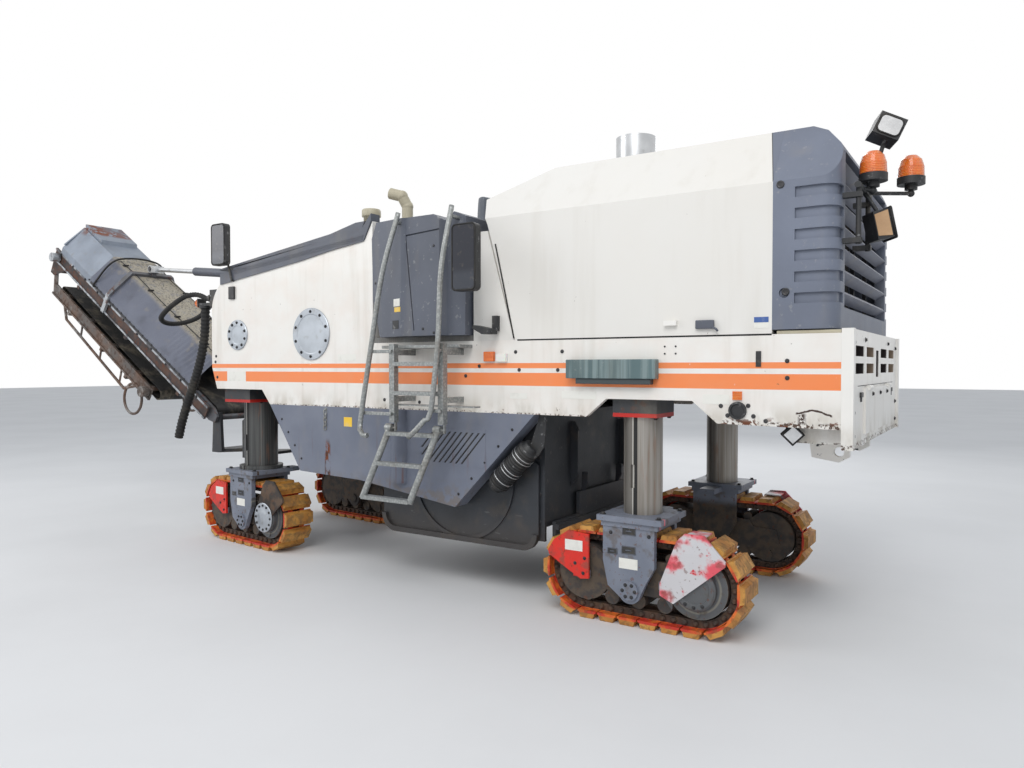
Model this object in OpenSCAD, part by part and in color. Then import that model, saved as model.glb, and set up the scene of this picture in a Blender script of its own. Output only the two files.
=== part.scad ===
// Cold planer milling machine on four steered track units, with a folding loading conveyor.
// Millimetres. +X forward, +Y left, +Z up, ground at Z = 0. Stations along the machine are
// measured forward from its rear face, and on_frame() moves them to the part's own origin,
// which lies on the ground under the middle of the whole machine.

/* [Body] */
// Width over the painted side walls
body_w = 2020; // [1900:10:2200]
// Length from the rear face to the front nose
body_len = 5420; // [5400:10:5600]
// Thickness of the painted walls
wall_t = 40; // [20:5:50]
// Height of the lower edge of the sill
sill_z = 1330; // [1320:5:1345]
// Height of the raised edge over the front and rear track units
arch_z = 1450; // [1440:5:1480]
// Height of the seam between sill and hood
seam_z = 1840; // [1820:5:1860]
// Station where the rear sill ends and the front body starts
front_body_x = 3420; // [3400:10:3460]
// Height of the front body at its rear end
front_top_rear_z = 2790; // [2700:10:2850]
// Height of the front body at its rounded front edge
front_top_nose_z = 2480; // [2400:10:2550]
// Radius of the rounded top front edge
nose_r = 330; // [250:10:380]

/* [Hood] */
// Height of the hood roof
hood_top_z = 3055; // [3000:5:3120]
// Height of the crease where the side panels start to lean in
crease_z = 2700; // [2650:10:2750]
// Half width of the flat roof
roof_half_w = 740; // [650:10:800]
// Station of the seam between hood and radiator surround
surround_x = 370; // [330:10:400]
// Wall thickness of the hood
hood_t = 35; // [25:5:45]
// Number of slats in the rear grille
slat_count = 7; // [5:1:9]
// Height of the bright exhaust stub above the roof
exhaust_len = 340; // [250:10:400]
// Radius of the bright exhaust stub
exhaust_r = 150; // [110:5:180]

/* [Track units] */
// Station of the rear lifting columns
rear_col_x = 1230; // [1200:5:1260]
// Side offset of the rear lifting columns
rear_col_y = 820; // [800:5:830]
// Radius of the rear lifting columns
rear_col_r = 125; // [100:5:130]
// Station of the front lifting columns
front_col_x = 5125; // [5100:5:5135]
// Side offset of the front lifting columns
front_col_y = 700; // [690:5:710]
// Radius of the front lifting columns
front_col_r = 150; // [130:5:160]
// Height of the yoke's top face, where the column stands on it
yoke_top_z = 710; // [700:5:720]
// Overall length of a track
track_len = 1370; // [1300:10:1390]
// Overall height of a track
track_h = 610; // [580:5:620]
// Width of a track
track_w = 280; // [240:10:300]
// Thickness of a track pad
pad_t = 48; // [30:2:60]
// Number of pads on a track
pad_count = 22; // [16:1:24]
// Steering angle at which the front tracks are parked
park_steer = -6; // [-12:1:12]

/* [Milling drum] */
// Station of the drum axis
drum_x = 2680; // [2660:5:2720]
// Height of the drum axis
drum_z = 830; // [820:5:860]
// Width of the milling drum
drum_w = 1500; // [1400:10:1520]
// Radius of the drum barrel
drum_r = 370; // [330:5:390]
// Radius of the circle that the cutting tips run on
cut_r = 490; // [450:5:495]
// Number of cutting tools
tool_count = 44; // [20:2:80]
// Thickness of the housing plates
housing_t = 25; // [15:1:30]

/* [Loading conveyor] */
// Station of the vertical slewing pin
slew_x = 6100; // [6080:5:6120]
// Distance from the slewing pin to the pivot that the boom tilts on
luff_reach = 180; // [170:5:200]
// Height of the pivot that the boom tilts on
luff_z = 1120; // [1100:5:1140]
// Angle of the parked boom above level
boom_angle = 32.5; // [28:0.5:36]
// Distance from the tilting pivot to the fold pivot along the boom
boom_len = 3600; // [3500:10:3700]
// Half width over the boom's side rails
boom_half_w = 430; // [400:5:450]
// Length of the folded section
fold_len = 2600; // [2400:10:2650]
// Half width over the folded section's side rails
fold_half_w = 400; // [360:5:420]

/* [Hidden] */

$fn = 48;
// Station of the part's origin
origin_x = 4585;
// Running clearance of a shaft in its bore, on the radius
fit = 0.08;
// Gap left between pieces that move past each other
gap = 8;
// Gap left where one piece is seated on another
seat = 0.3;
side_y = body_w / 2;
inner_y = side_y - wall_t;

module on_frame() { translate([-origin_x, 0, 0]) children(); }

// Extrudes an outline drawn in stations and heights, from y0 to y1 across the machine
module plate_y(y0, y1) {
    translate([0, y1, 0]) rotate([90, 0, 0]) linear_extrude(y1 - y0) children();
}

// The same piece on the left and on the right
module both_sides() {
    children();
    mirror([0, 1, 0]) children();
}

// A round bar from one point to another
module bar(p, q, r) {
    d = q - p;
    translate(p) rotate([0, acos(d[2] / norm(d)), atan2(d[1], d[0])])
        cylinder(r = r, h = norm(d), $fn = 20);
}

// A tube bent through a list of points, with a slightly thicker ball at each bend
module bent_tube(points, r) {
    for (i = [0 : len(points) - 2]) bar(points[i], points[i + 1], r);
    if (len(points) > 2)
        for (i = [1 : len(points) - 2]) translate(points[i]) sphere(r = r * 1.06, $fn = 20);
}

// A box given by its two corners
module box(p, q) { translate(p) cube(q - p); }

// Station, side offset, radius and height of the foot of each column
function column(front) = front ? [front_col_x, front_col_y, front_col_r]
    : [rear_col_x, rear_col_y, rear_col_r];

guide_z0 = 1360;
guide_z1 = 1800;
flange_t = 26;
beam_in = 80;
beam_y1 = inner_y - 5;
beam_y0 = beam_y1 - beam_in;
nose_z = 1650;

guide_wall = 25;
module guide_block(front) {
    c = column(front);
    block = c[2] + guide_wall;
    box([c[0] - block, c[1] - block, guide_z0], [c[0] + block, beam_y1, guide_z1]);
}
module column_bores(clearance) {
    both_sides() for (front = [false, true]) {
        c = column(front);
        translate([c[0], c[1], 0]) cylinder(r = c[2] + clearance, h = 3000, $fn = 64);
    }
}

eye_r = 30;
eye_t = 40;
rear_eye_x = 110;
rear_eye_y = 400;
rear_eye_z = 1130;
module lashing_eye(y) {
    plate_y(y - eye_t / 2, y + eye_t / 2) difference() {
        polygon([[rear_eye_x + 220, 1510], [rear_eye_x + 160, rear_eye_z - 40],
            [rear_eye_x, rear_eye_z - 65],
            [rear_eye_x - 60, rear_eye_z - 30], [rear_eye_x - 60, rear_eye_z + 30],
            [rear_eye_x, rear_eye_z + 65],
            [rear_eye_x + 60, 1510]]);
        translate([rear_eye_x, rear_eye_z]) circle(r = eye_r);
    }
}

// Side cheeks that carry the slewing pin under the nose
cheek_y0 = 318;
cheek_y1 = 343;
cheek_x1 = slew_x - 240;
front_beam_x = body_len - 130;
slew_plate_z = 720;
slew_pin_r = 45;
module main_frame() {
    color([0.16, 0.17, 0.19]) on_frame() difference() {
        union() {
            both_sides() {
                box([60, beam_y0, 1470], [front_beam_x, beam_y1, guide_z1]);
                guide_block(false);
                guide_block(true);
                plate_y(cheek_y0, cheek_y1) polygon([[4700, 1470], [4700, 1600], [front_beam_x - 40, 1600],
                    [front_beam_x, 1460], [cheek_x1, 1100], [cheek_x1, slew_plate_z],
                    [cheek_x1 - 60, slew_plate_z],
                    [5350, 1330], [4900, 1400]]);
                lashing_eye(rear_eye_y);
            }
            for (x = [100, 900, 1480, 3480, 4760])
                box([x, -beam_y0 - 1, 1500], [x + 90, beam_y0 + 1, guide_z1]);
            box([900, -500, 1500], [1570, 500, 1560]);
            translate([0, 0, slew_plate_z]) linear_extrude(30)
                polygon([[cheek_x1 - 60, -cheek_y1], [cheek_x1, -cheek_y1], [slew_x + 80, -90],
                    [slew_x + 80, 90],
                    [cheek_x1, cheek_y1], [cheek_x1 - 60, cheek_y1]]);
        }
        translate([slew_x, 0, slew_plate_z - 1]) cylinder(r = slew_pin_r + fit, h = 60);
        column_bores(fit);
    }
}

module guide_flanges() {
    color([0.75, 0.12, 0.08]) on_frame() difference() {
        both_sides() for (front = [false, true]) {
            c = column(front);
            half = c[2] + guide_wall;
            box([c[0] - half, c[1] - half, guide_z0 - seat - flange_t],
                [c[0] + half, beam_y1 - 2, guide_z0 - seat]);
        }
        column_bores(1);
    }
}

// Lower outline of the sill with the arch over the rear track unit
sill_rear_z = 1310;
sill_outline = [[0, sill_rear_z], [683, sill_rear_z + 10], [836, arch_z], [1407, arch_z],
    [1550, sill_z], [front_body_x, sill_z], [front_body_x, seam_z], [0, seam_z]];

module side_shell() {
    color([0.93, 0.92, 0.88]) on_frame() {
        both_sides() plate_y(inner_y, side_y) polygon(sill_outline);
        box([0, -inner_y - 1, 1500], [wall_t, inner_y + 1, seam_z]);
    }
}

rear_lip = 1200;
hatch_half_w = 560;
module rear_panel() {
    color([0.93, 0.92, 0.88]) on_frame() {
        difference() {
            union() {
                box([-45, -side_y, rear_lip], [-seat, side_y, seam_z + 25]);
                // Folded rims down both edges and the raised hatch with its two hinges
                both_sides() box([-62, side_y - 60, rear_lip], [-44, side_y, seam_z + 25]);
                box([-60, -hatch_half_w, rear_lip + 60], [-44, hatch_half_w, rear_lip + 330]);
                for (s = [-1, 1]) translate([-60, s * 420, rear_lip + 330]) rotate([90, 0, 0])
                    translate([0, 0, -60]) cylinder(r = 16, h = 120, $fn = 24);
            }
            // Upright slot and two rows of rectangular openings
            for (s = [-1, 1]) for (z = [1615, 1715])
                for (y = [300, 690]) box([-70, s * y - 150, z], [10, s * y + 150, z + 60]);
            box([-70, -60, 1590], [10, 60, 1760]);
        }
        // Lower cross box behind the panel's lip, open where the two lashing eyes pass
        difference() {
            box([-1, -side_y + 110, rear_lip + 20], [300, side_y - 110, rear_lip + 108]);
            for (s = [-1, 1]) box([-10, s * rear_eye_y - eye_t / 2 - 4, rear_lip],
                [310, s * rear_eye_y + eye_t / 2 + 4, rear_lip + 120]);
        }
    }
}

// Height of the front body's sloping top at a station
top_x0 = front_body_x + 80;
top_x1 = body_len - nose_r;
top_z0 = front_top_rear_z - 140;
function top_z(x) = front_top_nose_z + (top_x1 - x) * (top_z0 - front_top_nose_z) / (top_x1 - top_x0);
module front_side_profile() {
    translate([body_len - nose_r, front_top_nose_z - nose_r]) circle(r = nose_r, $fn = 64);
    polygon([[front_body_x, sill_z], [4627, sill_z], [4730, arch_z + 5], [body_len - 70, arch_z + 5],
        [body_len, nose_z], [body_len, front_top_nose_z - nose_r], [top_x1, front_top_nose_z],
        [top_x0, top_z0], [front_body_x, front_top_rear_z]]);
}

module front_body() {
    color([0.93, 0.92, 0.88]) on_frame() difference() {
        plate_y(-side_y, side_y) front_side_profile();
        plate_y(-inner_y, inner_y) polygon([[front_body_x - 10, 1000], [body_len - 115, 1000],
            [body_len - 115, arch_z + 5], [body_len - wall_t, nose_z + 20], [body_len - wall_t, seam_z],
            [front_body_x - 10, seam_z]]);
        // Wells that the raised columns move up into
        both_sides() translate([front_col_x, front_col_y, seam_z - 10])
            cylinder(r = front_col_r + 15, h = 560);
    }
}

module tank_trim() {
    color([0.32, 0.34, 0.38]) on_frame() both_sides()
        plate_y(side_y - 90, side_y + 12) polygon([[top_x1, front_top_nose_z + seat],
            [top_x0 + 2, top_z0 + seat], [front_body_x + 5, front_top_rear_z + seat],
            [front_body_x + 5, front_top_rear_z + 60], [front_body_x + 110, front_top_rear_z - 55],
            [top_x1, front_top_nose_z + 60]]);
}

// Station, height and radius of the bolted covers
COVERS = [[5050, 1940, 135], [4106, 1927, 216]];
cover_t = 12;
module tank_covers() {
    color([0.75, 0.77, 0.79]) on_frame() both_sides() for (c = COVERS)
        translate([c[0], side_y + seat, c[1]]) rotate([-90, 0, 0]) rotate_extrude($fn = 64)
            polygon([[0, 0], [c[2], 0], [c[2], cover_t - 4], [c[2] - 4, cover_t],
                [c[2] - 50, cover_t], [c[2] - 56, cover_t - 3], [0, cover_t - 3]]);
}

// The engine and, behind the rear grille, the radiator's core
module engine_block() {
    color([0.13, 0.13, 0.14]) on_frame() {
        box([620, -440, 1805], [1980, 440, 2560]);
        box([260, -760, 1845], [420, 760, 2800]);
    }
}

hood_front = [[2100, seam_z], [2335, 2660]];
bulkhead_front_x = 2450;
// The hood tilts about two short pins in lugs on top of the bulkhead
hinge_x = 2400;
hinge_z = 2660;
hinge_y = 700;
hinge_r = 15;
hinge_lug_t = 24;
module bulkhead() {
    color([0.93, 0.92, 0.88]) on_frame() {
        both_sides() plate_y(inner_y, side_y) polygon([[2100 + gap, seam_z + seat],
            [bulkhead_front_x, seam_z + seat], [bulkhead_front_x, 2610], [2322 + gap, 2610]]);
        box([bulkhead_front_x - 30, -inner_y - 1, seam_z + seat], [bulkhead_front_x, inner_y + 1, 2610]);
        both_sides() plate_y(hinge_y - hinge_lug_t / 2, hinge_y + hinge_lug_t / 2) difference() {
            polygon([[hinge_x - 18, 2590], [bulkhead_front_x, 2590], [bulkhead_front_x, hinge_z - 10],
                [hinge_x + 28, hinge_z + 32], [hinge_x - 22, hinge_z + 32], [hinge_x - 38, hinge_z]]);
            translate([hinge_x, hinge_z]) circle(r = hinge_r + fit);
        }
    }
}

floor_t = 40;
module platform_floor() {
    color([0.35, 0.36, 0.38]) on_frame()
        box([bulkhead_front_x + 2, -side_y, seam_z + seat], [front_body_x - 2, side_y, seam_z + floor_t]);
}

box_out = 1150;
box_in = 820;
module side_box_profile() {
    polygon([[2470, seam_z + floor_t + seat], [2462, 2720], [2560, 2760], [2625, 2700], [2700, 2745],
        [3130, 2745], [3292, 2640], [3215, seam_z + floor_t + seat]]);
}
module side_boxes() {
    color([0.35, 0.37, 0.42]) on_frame() both_sides() difference() {
        intersection() {
            plate_y(box_in, box_out) side_box_profile();
            // Seen from above, the front corner is cut away and the outer wall steps in behind
            linear_extrude(3000) polygon([[2400, box_in], [2400, box_out - 70], [2615, box_out - 55],
                [2650, box_out], [2960, box_out], [3300, box_out - 130], [3300, box_in]]);
        }
        // Joint of the lid and the recessed handle
        plate_y(box_out - 12, box_out + 5) polygon([[2880, seam_z + 80], [2890, seam_z + 80],
            [2968, 2620], [2958, 2620]]);
        plate_y(box_out - 12, box_out + 5) polygon([[2650, 2640], [2650, 2628], [2960, 2608],
            [2960, 2620]]);
        box([3020, box_out - 90, 1990], [3090, box_out + 5, 2070]);
    }
}

// Two operating desks with sloping faces on one pedestal across the platform
module console() {
    color([0.22, 0.23, 0.25]) on_frame() {
        plate_y(-box_in + 10, box_in - 10) polygon([[3290, seam_z + floor_t + seat],
            [front_body_x - 4, seam_z + floor_t + seat], [front_body_x - 4, 2700], [3330, 2640],
            [3290, 2560]]);
        both_sides() {
            plate_y(seat_y - 260, seat_y + 260) polygon([[3120, 2500], [3291, 2440], [3331, 2639],
                [3331, 2700],
                [3300, 2720], [3090, 2590]]);
            // Steering wheel on its column
            translate([3180, seat_y, 2650]) rotate([0, -28, 0]) {
                cylinder(r = 22, h = 60);
                translate([0, 0, 60]) rotate_extrude($fn = 36) translate([150, 0]) circle(r = 14, $fn = 14);
                translate([0, 0, 56]) for (a = [0, 120, 240]) rotate([0, 0, a]) box([0, -12, -6],
                    [150, 12, 6]);
            }
        }
    }
}

seat_y = 400;
module seats() {
    color([0.27, 0.29, 0.31]) on_frame() both_sides() translate([0, seat_y, 0]) {
        // Cushion, back and column of one seat
        plate_y(-230, 230) polygon([[2660, 2360], [3030, 2380], [3065, 2430], [3030, 2480], [2750, 2470],
            [2720, 2960], [2680, 2990], [2620, 2970], [2600, 2420]]);
        for (s = [-1, 1]) plate_y(s * 262 - 30, s * 262 + 30)
            polygon([[2650, 2560], [2960, 2570], [2960, 2610], [2660, 2620]]);
        translate([2800, 0, seam_z + floor_t + seat]) cylinder(r = 55, h = 2372 - seam_z - floor_t);
        translate([2800, 0, seam_z + floor_t + seat]) cylinder(r = 150, h = 24);
    }
}

rail_r = 19;
rail_x = [[3130, 3370], [2620, 2780]];
ladder_y = 1230;
module handrails() {
    color([0.66, 0.67, 0.66]) on_frame() both_sides() for (x = rail_x)
        bent_tube([[x[0], box_out + 30, 2800], [x[0] + 10, ladder_y + 40, 2200],
            [x[1], ladder_y + 90, 1200], [x[1] - 90, ladder_y + 60, 1130]], rail_r);
}

ladder_x = [2560, 3010];
ladder_rail = 24;
pivot_z = 1210;
pivot_pin_r = 10;
module upper_ladders() {
    color([0.66, 0.67, 0.66]) on_frame() both_sides() {
        for (x = ladder_x) translate([x, ladder_y, pivot_z + 40])
            box([-ladder_rail, -ladder_rail, 0], [ladder_rail, ladder_rail, 570]);
        for (z = [1450, 1660]) box([ladder_x[0], ladder_y - 30, z], [ladder_x[1], ladder_y + 30, z + 30]);
        for (z = [1740, 1400]) for (x = ladder_x)
            box([x - 24, side_y + seat, z], [x + 24, ladder_y - 10, z + 40]);
        // Tread plate below the platform and the ledge behind the ladder
        box([2460, side_y + seat, 1790], [3180, box_out + 20, 1812]);
        box([2300, ladder_y - 90, 1372], [ladder_x[1] + 10, ladder_y - 18, 1382]);
        // Pivot pins of the folding lower part
        for (x = ladder_x) {
            box([x - ladder_rail, ladder_y - 10, pivot_z - 22],
                [x - ladder_rail + 12, ladder_y + 10, pivot_z + 41]);
            translate([x - ladder_rail, ladder_y, pivot_z]) rotate([0, 90, 0])
                cylinder(r = pivot_pin_r, h = 110);
        }
    }
}

foot_out = 100;
module lower_ladder() {
    for (x = ladder_x) difference() {
        union() {
            bar([x + 40, ladder_y, pivot_z], [x + 220, ladder_y + foot_out, 690], ladder_rail);
            translate([x + 40 - 30, ladder_y, pivot_z]) rotate([0, 90, 0]) cylinder(r = 30, h = 60);
        }
        translate([x + 40 - 60, ladder_y, pivot_z]) rotate([0, 90, 0])
            cylinder(r = pivot_pin_r + fit, h = 140);
    }
    for (t = [0.08, 0.5, 0.98]) {
        dx = 40 + 180 * t;
        dy = foot_out * t;
        z = pivot_z - 520 * t;
        box([ladder_x[0] + dx, ladder_y + dy - 28, z - 14], [ladder_x[1] + dx, ladder_y + dy + 28, z + 14]);
    }
}
module lower_ladder_left() { color([0.66, 0.67, 0.66]) on_frame() lower_ladder(); }
module lower_ladder_right() { color([0.66, 0.67, 0.66]) on_frame() mirror([0, 1, 0]) lower_ladder(); }

// Station, side offset and height of each mirror's lower corner, then its length and height
MIRRORS = [[2190, 1290, 2160, 200, 450], [5080, 1060, 2560, 190, 370]];
mirror_t = 60;
module rounded_rectangle(w, h, r) {
    translate([r, 0]) square([w - 2 * r, h]);
    translate([0, r]) square([w, h - 2 * r]);
    for (x = [r, w - r]) for (z = [r, h - r]) translate([x, z]) circle(r = r, $fn = 24);
}
module mirrors() {
    color([0.08, 0.08, 0.09]) on_frame() both_sides() {
        for (m = MIRRORS)
            plate_y(m[1], m[1] + mirror_t) translate([m[0], m[2]]) rounded_rectangle(m[3], m[4], 35);
        // Arms from the bulkhead's wall and the front body's wall
        bent_tube([[2380, side_y + seat, 2500], [2380, 1200, 2500], [2310, 1240, 2400],
            [2310, MIRRORS[0][1] - seat, 2400]], 12);
        bent_tube([[5100, side_y + seat, 2430], [5100, 1035, 2430], [5170, 1035, 2650],
            [5170, MIRRORS[1][1] - seat, 2650]], 10);
    }
}

skirt_depth = 150;
louvre_count = 10;
// Outline of the skirt under the sill; t moves it inward
module skirt_outline(t) {
    polygon([[4625 - t * 1.8, sill_z - seat + (t > 0 ? 5 : 0)], [4250 - t * 0.6, 780 + t], [3560, 755 + t],
        [2620 + t * 0.6, 633 + t], [1945 + t * 2.2, sill_z - seat + (t > 0 ? 5 : 0)]]);
}
module lower_panels() {
    color([0.42, 0.44, 0.49]) on_frame() both_sides() {
        difference() {
            plate_y(side_y - skirt_depth, side_y) skirt_outline(0);
            plate_y(side_y - skirt_depth - 1, side_y - wall_t / 2) skirt_outline(wall_t / 2);
            for (i = [0 : louvre_count - 1]) translate([2450 + 50 * i, side_y, 1060]) rotate([0, 35, 0])
                box([-8, -60, -125], [8, 10, 125]);
        }
        // Upright round cover over the hose duct
        translate([3150, side_y - 22, 770]) cylinder(r = 75, h = sill_z - seat - 772);
    }
}

housing_r = cut_r + 45;
housing_y = drum_w / 2 + 40;
housing_low = 400;
housing_rear_x = 1975;
bearing_r = 90;
module drum_housing() {
    color([0.3, 0.31, 0.33]) on_frame() difference() {
        union() {
            plate_y(-housing_y, housing_y) difference() {
                union() {
                    translate([drum_x, drum_z]) circle(r = housing_r + housing_t, $fn = 64);
                    polygon([[housing_rear_x, housing_low + 120], [housing_rear_x, 1330], [drum_x, 1330],
                        [3400, 1200], [3440, housing_low]]);
                }
                translate([drum_x, drum_z]) circle(r = housing_r, $fn = 64);
                translate([1900, -10]) square([1700, housing_low + 10]);
            }
            both_sides() plate_y(housing_y - 1, housing_y + housing_t)
                polygon([[housing_rear_x, housing_low + 20], [housing_rear_x, 1330], [2300, 1490],
                    [3100, 1490], [3440, 1200], [3440, housing_low]]);
            // Link plates with two bolts each, that hang the housing on the frame
            for (s = [-1, 1]) plate_y(s * 420 - 15, s * 420 + 15) polygon([[housing_rear_x - 20, 1250],
                [housing_rear_x + 1, 1250], [housing_rear_x + 1, 760], [housing_rear_x - 20, 790],
                [housing_rear_x - 60, 860], [housing_rear_x - 60, 1180]]);
        }
        rotate([90, 0, 0]) translate([drum_x, drum_z, -2000]) cylinder(r = bearing_r, h = 4000);
    }
}

// Cutting tools stand on the barrel in helical rows that lead in from both ends to the middle
module cutting_tool() {
    translate([0, 0, drum_r - 10]) rotate([0, 32, 0]) {
        linear_extrude(62) polygon([[-42, -28], [30, -28], [40, -12], [40, 12], [30, 28], [-42, 28]]);
        cylinder(r = 21, h = 84, $fn = 16);
        translate([0, 0, 83]) cylinder(r1 = 17, r2 = 5, h = tool_tip, $fn = 16);
    }
}
tool_end = 35;
tool_tip = cut_r - drum_r - 75;
tool_lead = 0.7;
tool_rows = 4;
module drum() {
    color([0.32, 0.27, 0.22]) on_frame() translate([drum_x, 0, drum_z]) {
        rotate([90, 0, 0]) translate([0, 0, -drum_w / 2]) cylinder(r = drum_r, h = drum_w, $fn = 64);
        rotate([90, 0, 0]) translate([0, 0, -housing_y - housing_t])
            cylinder(r = bearing_r - fit, h = 2 * (housing_y + housing_t));
        for (i = [0 : tool_count - 1]) {
            y = -drum_w / 2 + tool_end + (drum_w - 2 * tool_end) * i / (tool_count - 1);
            a = (y < 0 ? 1 : -1) * abs(y) * tool_lead + (i % tool_rows) * 360 / tool_rows;
            rotate([0, a, 0]) translate([0, y, 0]) cutting_tool();
        }
    }
}

scraper_x = housing_rear_x;
module scraper() {
    color([0.34, 0.35, 0.37]) on_frame() {
        // Blade with its worn edge and rib, and the narrow part that rises between the link plates
        box([scraper_x - 60, -housing_y + 40, 360], [scraper_x - 30, housing_y - 40, 401]);
        box([scraper_x - 50, -housing_y + 40, 400], [scraper_x - 25, housing_y - 40, 556]);
        box([scraper_x - 75, -housing_y + 40, 500], [scraper_x - 49, housing_y - 40, 540]);
        box([scraper_x - 50, -390, 555], [scraper_x - 25, 390, 720]);
        for (s = [-1, 1]) plate_y(s * 300 - 12, s * 300 + 12) polygon([[scraper_x - 50, 719],
            [scraper_x - 25, 719], [scraper_x - 30, 860], [scraper_x - 80, 860], [scraper_x - 80, 780]]);
    }
}

plate_z = 350;
// Quarter of a flat ring about (x, z), starting at angle a
module ring_sector(x, z, r, t, a) {
    translate([x, z]) rotate(a) intersection() {
        difference() {
            circle(r = r);
            circle(r = r - t);
        }
        square([r, r]);
    }
}
// Edge plate beside the cut, with a runner along its lower edge, a wear ring and two lifting eyes
module side_plate() {
    y0 = housing_y + housing_t + gap;
    difference() {
        union() {
            plate_y(y0, y0 + 20) {
                polygon([[2010, plate_z + 120], [2010, 960], [2080, 1010], [3260, 1010], [3460, 760],
                    [3460, plate_z + 140], [3300, plate_z], [2130, plate_z]]);
                translate([2130, plate_z + 120]) circle(r = 120);
                translate([3320, plate_z + 140]) circle(r = 140);
            }
            plate_y(y0 + 19, y0 + 45) {
                translate([2130, plate_z]) square([1190, 40]);
                ring_sector(2130, plate_z + 120, 120, 40, 180);
                ring_sector(3320, plate_z + 140, 140, 40, 270);
            }
            translate([drum_x, y0 + 19, drum_z]) rotate([-90, 0, 0]) linear_extrude(14) difference() {
                circle(r = cut_r - 20, $fn = 64);
                circle(r = cut_r - 50, $fn = 64);
                translate([-600, -600]) square([1200, 420]);
                translate([-600, drum_z - plate_z - 40]) square([1200, 300]);
            }
        }
        for (x = [2230, 3110]) translate([x, y0 - 1, 960]) rotate([-90, 0, 0]) cylinder(r = 22, h = 60);
    }
}
module side_plate_left() { color([0.33, 0.34, 0.37]) on_frame() side_plate(); }
module side_plate_right() { color([0.33, 0.34, 0.37]) on_frame() mirror([0, 1, 0]) side_plate(); }

// Slanting air canister behind the side skirt
module air_canister() {
    translate([2165, 924, 943]) rotate([0, 45, 0]) {
        translate([-190, 0, 0]) rotate([0, 90, 0]) cylinder(r = 54, h = 380);
        for (x = [-200, 180]) translate([x, 0, 0]) rotate([0, 90, 0]) cylinder(r = 40, h = 20);
    }
}

// The collecting conveyor that brings the material forward from the drum
primary_a = [3560, 560];
primary_b = [5960, 1420];
primary_half_w = 305;
module primary_conveyor() {
    color([0.24, 0.25, 0.27]) on_frame() {
        len = norm(primary_b - primary_a);
        ang = atan2(primary_b[1] - primary_a[1], primary_b[0] - primary_a[0]);
        translate([primary_a[0], 0, primary_a[1]]) rotate([0, -ang, 0]) {
            both_sides() box([0, primary_half_w - 20, -110], [len, primary_half_w, 110]);
            box([60, -primary_half_w + 19, 40], [len - 60, primary_half_w - 19, 60]);
            box([60, -primary_half_w + 19, -80], [len - 60, primary_half_w - 19, -60]);
            for (x = [60, len - 60]) translate([x, primary_half_w, 0]) rotate([90, 0, 0])
                cylinder(r = 95, h = 2 * primary_half_w);
            for (i = [0 : 7]) box([220 + 270 * i, -primary_half_w + 19, -110],
                [260 + 270 * i, primary_half_w - 19, -79]);
        }
    }
}

// Routes of the two hoses at the nose, from their glands, and their radii
LOOP = [[5480, 985, 2290], [5530, 985, 2290], [5600, 990, 2318], [5670, 1012, 2332], [5760, 1044, 2318],
    [5855, 1064, 2276], [5950, 1078, 2226], [6050, 1080, 2170], [6140, 1053, 2126], [6206, 980, 2094],
    [6230, 880, 2082], [6206, 780, 2094], [6140, 707, 2126], [6050, 680, 2170], [5950, 686, 2220],
    [5850, 702, 2266], [5750, 724, 2300], [5655, 750, 2322], [5560, 772, 2330], [5520, 780, 2330],
    [5470, 780, 2330]];
LOOP_SIDE = [0.44, 0, 0.9];
DROP = [[5600, 950, 2205], [5600, 950, 2120], [5610, 950, 1980], [5636, 950, 1850], [5682, 950, 1710],
    [5745, 950, 1570], [5818, 950, 1430], [5900, 950, 1280], [5975, 950, 1120], [6030, 950, 970]];
DROP_SIDE = [0, 1, 0];
loop_r = 25;
drop_r = 44;
hose_sides = 10;

// Direction of a route at its point i, and the ring of radius r about that point
function route_dir(points, i) = let (d = points[min(i + 1, len(points) - 1)] - points[max(i - 1, 0)])
    d / norm(d);
function ring(points, i, r, side) = let (d = route_dir(points, i), c = cross(d, side), u = c / norm(c),
    v = cross(d, u)) [for (k = [0 : hose_sides - 1]) let (a = 360 * k / hose_sides)
        points[i] + r * (cos(a) * u + sin(a) * v)];
module hose(points, r, side) {
    n = len(points);
    m = hose_sides;
    polyhedron(points = [for (i = [0 : n - 1]) each ring(points, i, r, side)],
        faces = concat([[for (k = [m - 1 : -1 : 0]) k]], [[for (k = [0 : m - 1]) (n - 1) * m + k]],
            [for (i = [0 : n - 2]) for (k = [0 : m - 1]) let (j = (k + 1) % m)
                [i * m + k, i * m + j, (i + 1) * m + j, (i + 1) * m + k]]));
}
module hose_loop() { color([0.07, 0.07, 0.07]) on_frame() hose(LOOP, loop_r, LOOP_SIDE); }
module hose_drop() { color([0.07, 0.07, 0.07]) on_frame() hose(DROP, drop_r, DROP_SIDE); }

// Bracket on the left of the nose with the collars that the hoses come out of
bracket_x = 5450;
arm_x = 5660;
module hose_bracket() {
    plate_y(740, side_y) difference() {
        polygon([[5330, 2215], [bracket_x, 2215], [bracket_x, 2365], [5330, 2365]]);
        translate([body_len - nose_r, front_top_nose_z - nose_r]) circle(r = nose_r + seat, $fn = 64);
    }
    for (p = [LOOP[0], LOOP[len(LOOP) - 1]]) translate([bracket_x - 1, p[1], p[2]]) rotate([0, 90, 0])
        cylinder(r = loop_r + 9, h = p[0] - bracket_x + 1);
    box([bracket_x - 1, 915, 2225], [arm_x, 990, 2252]);
    box([arm_x - 12, 905, 2216], [arm_x, 995, 2296]);
    translate([DROP[0][0], DROP[0][1], DROP[0][2]]) cylinder(r = drop_r + 8, h = 2226 - DROP[0][2]);
}

module sill_fittings() {
    color([0.1, 0.11, 0.12]) on_frame() {
        hose_bracket();
        both_sides() air_canister();
        both_sides() side_fittings();
    }
}

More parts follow.
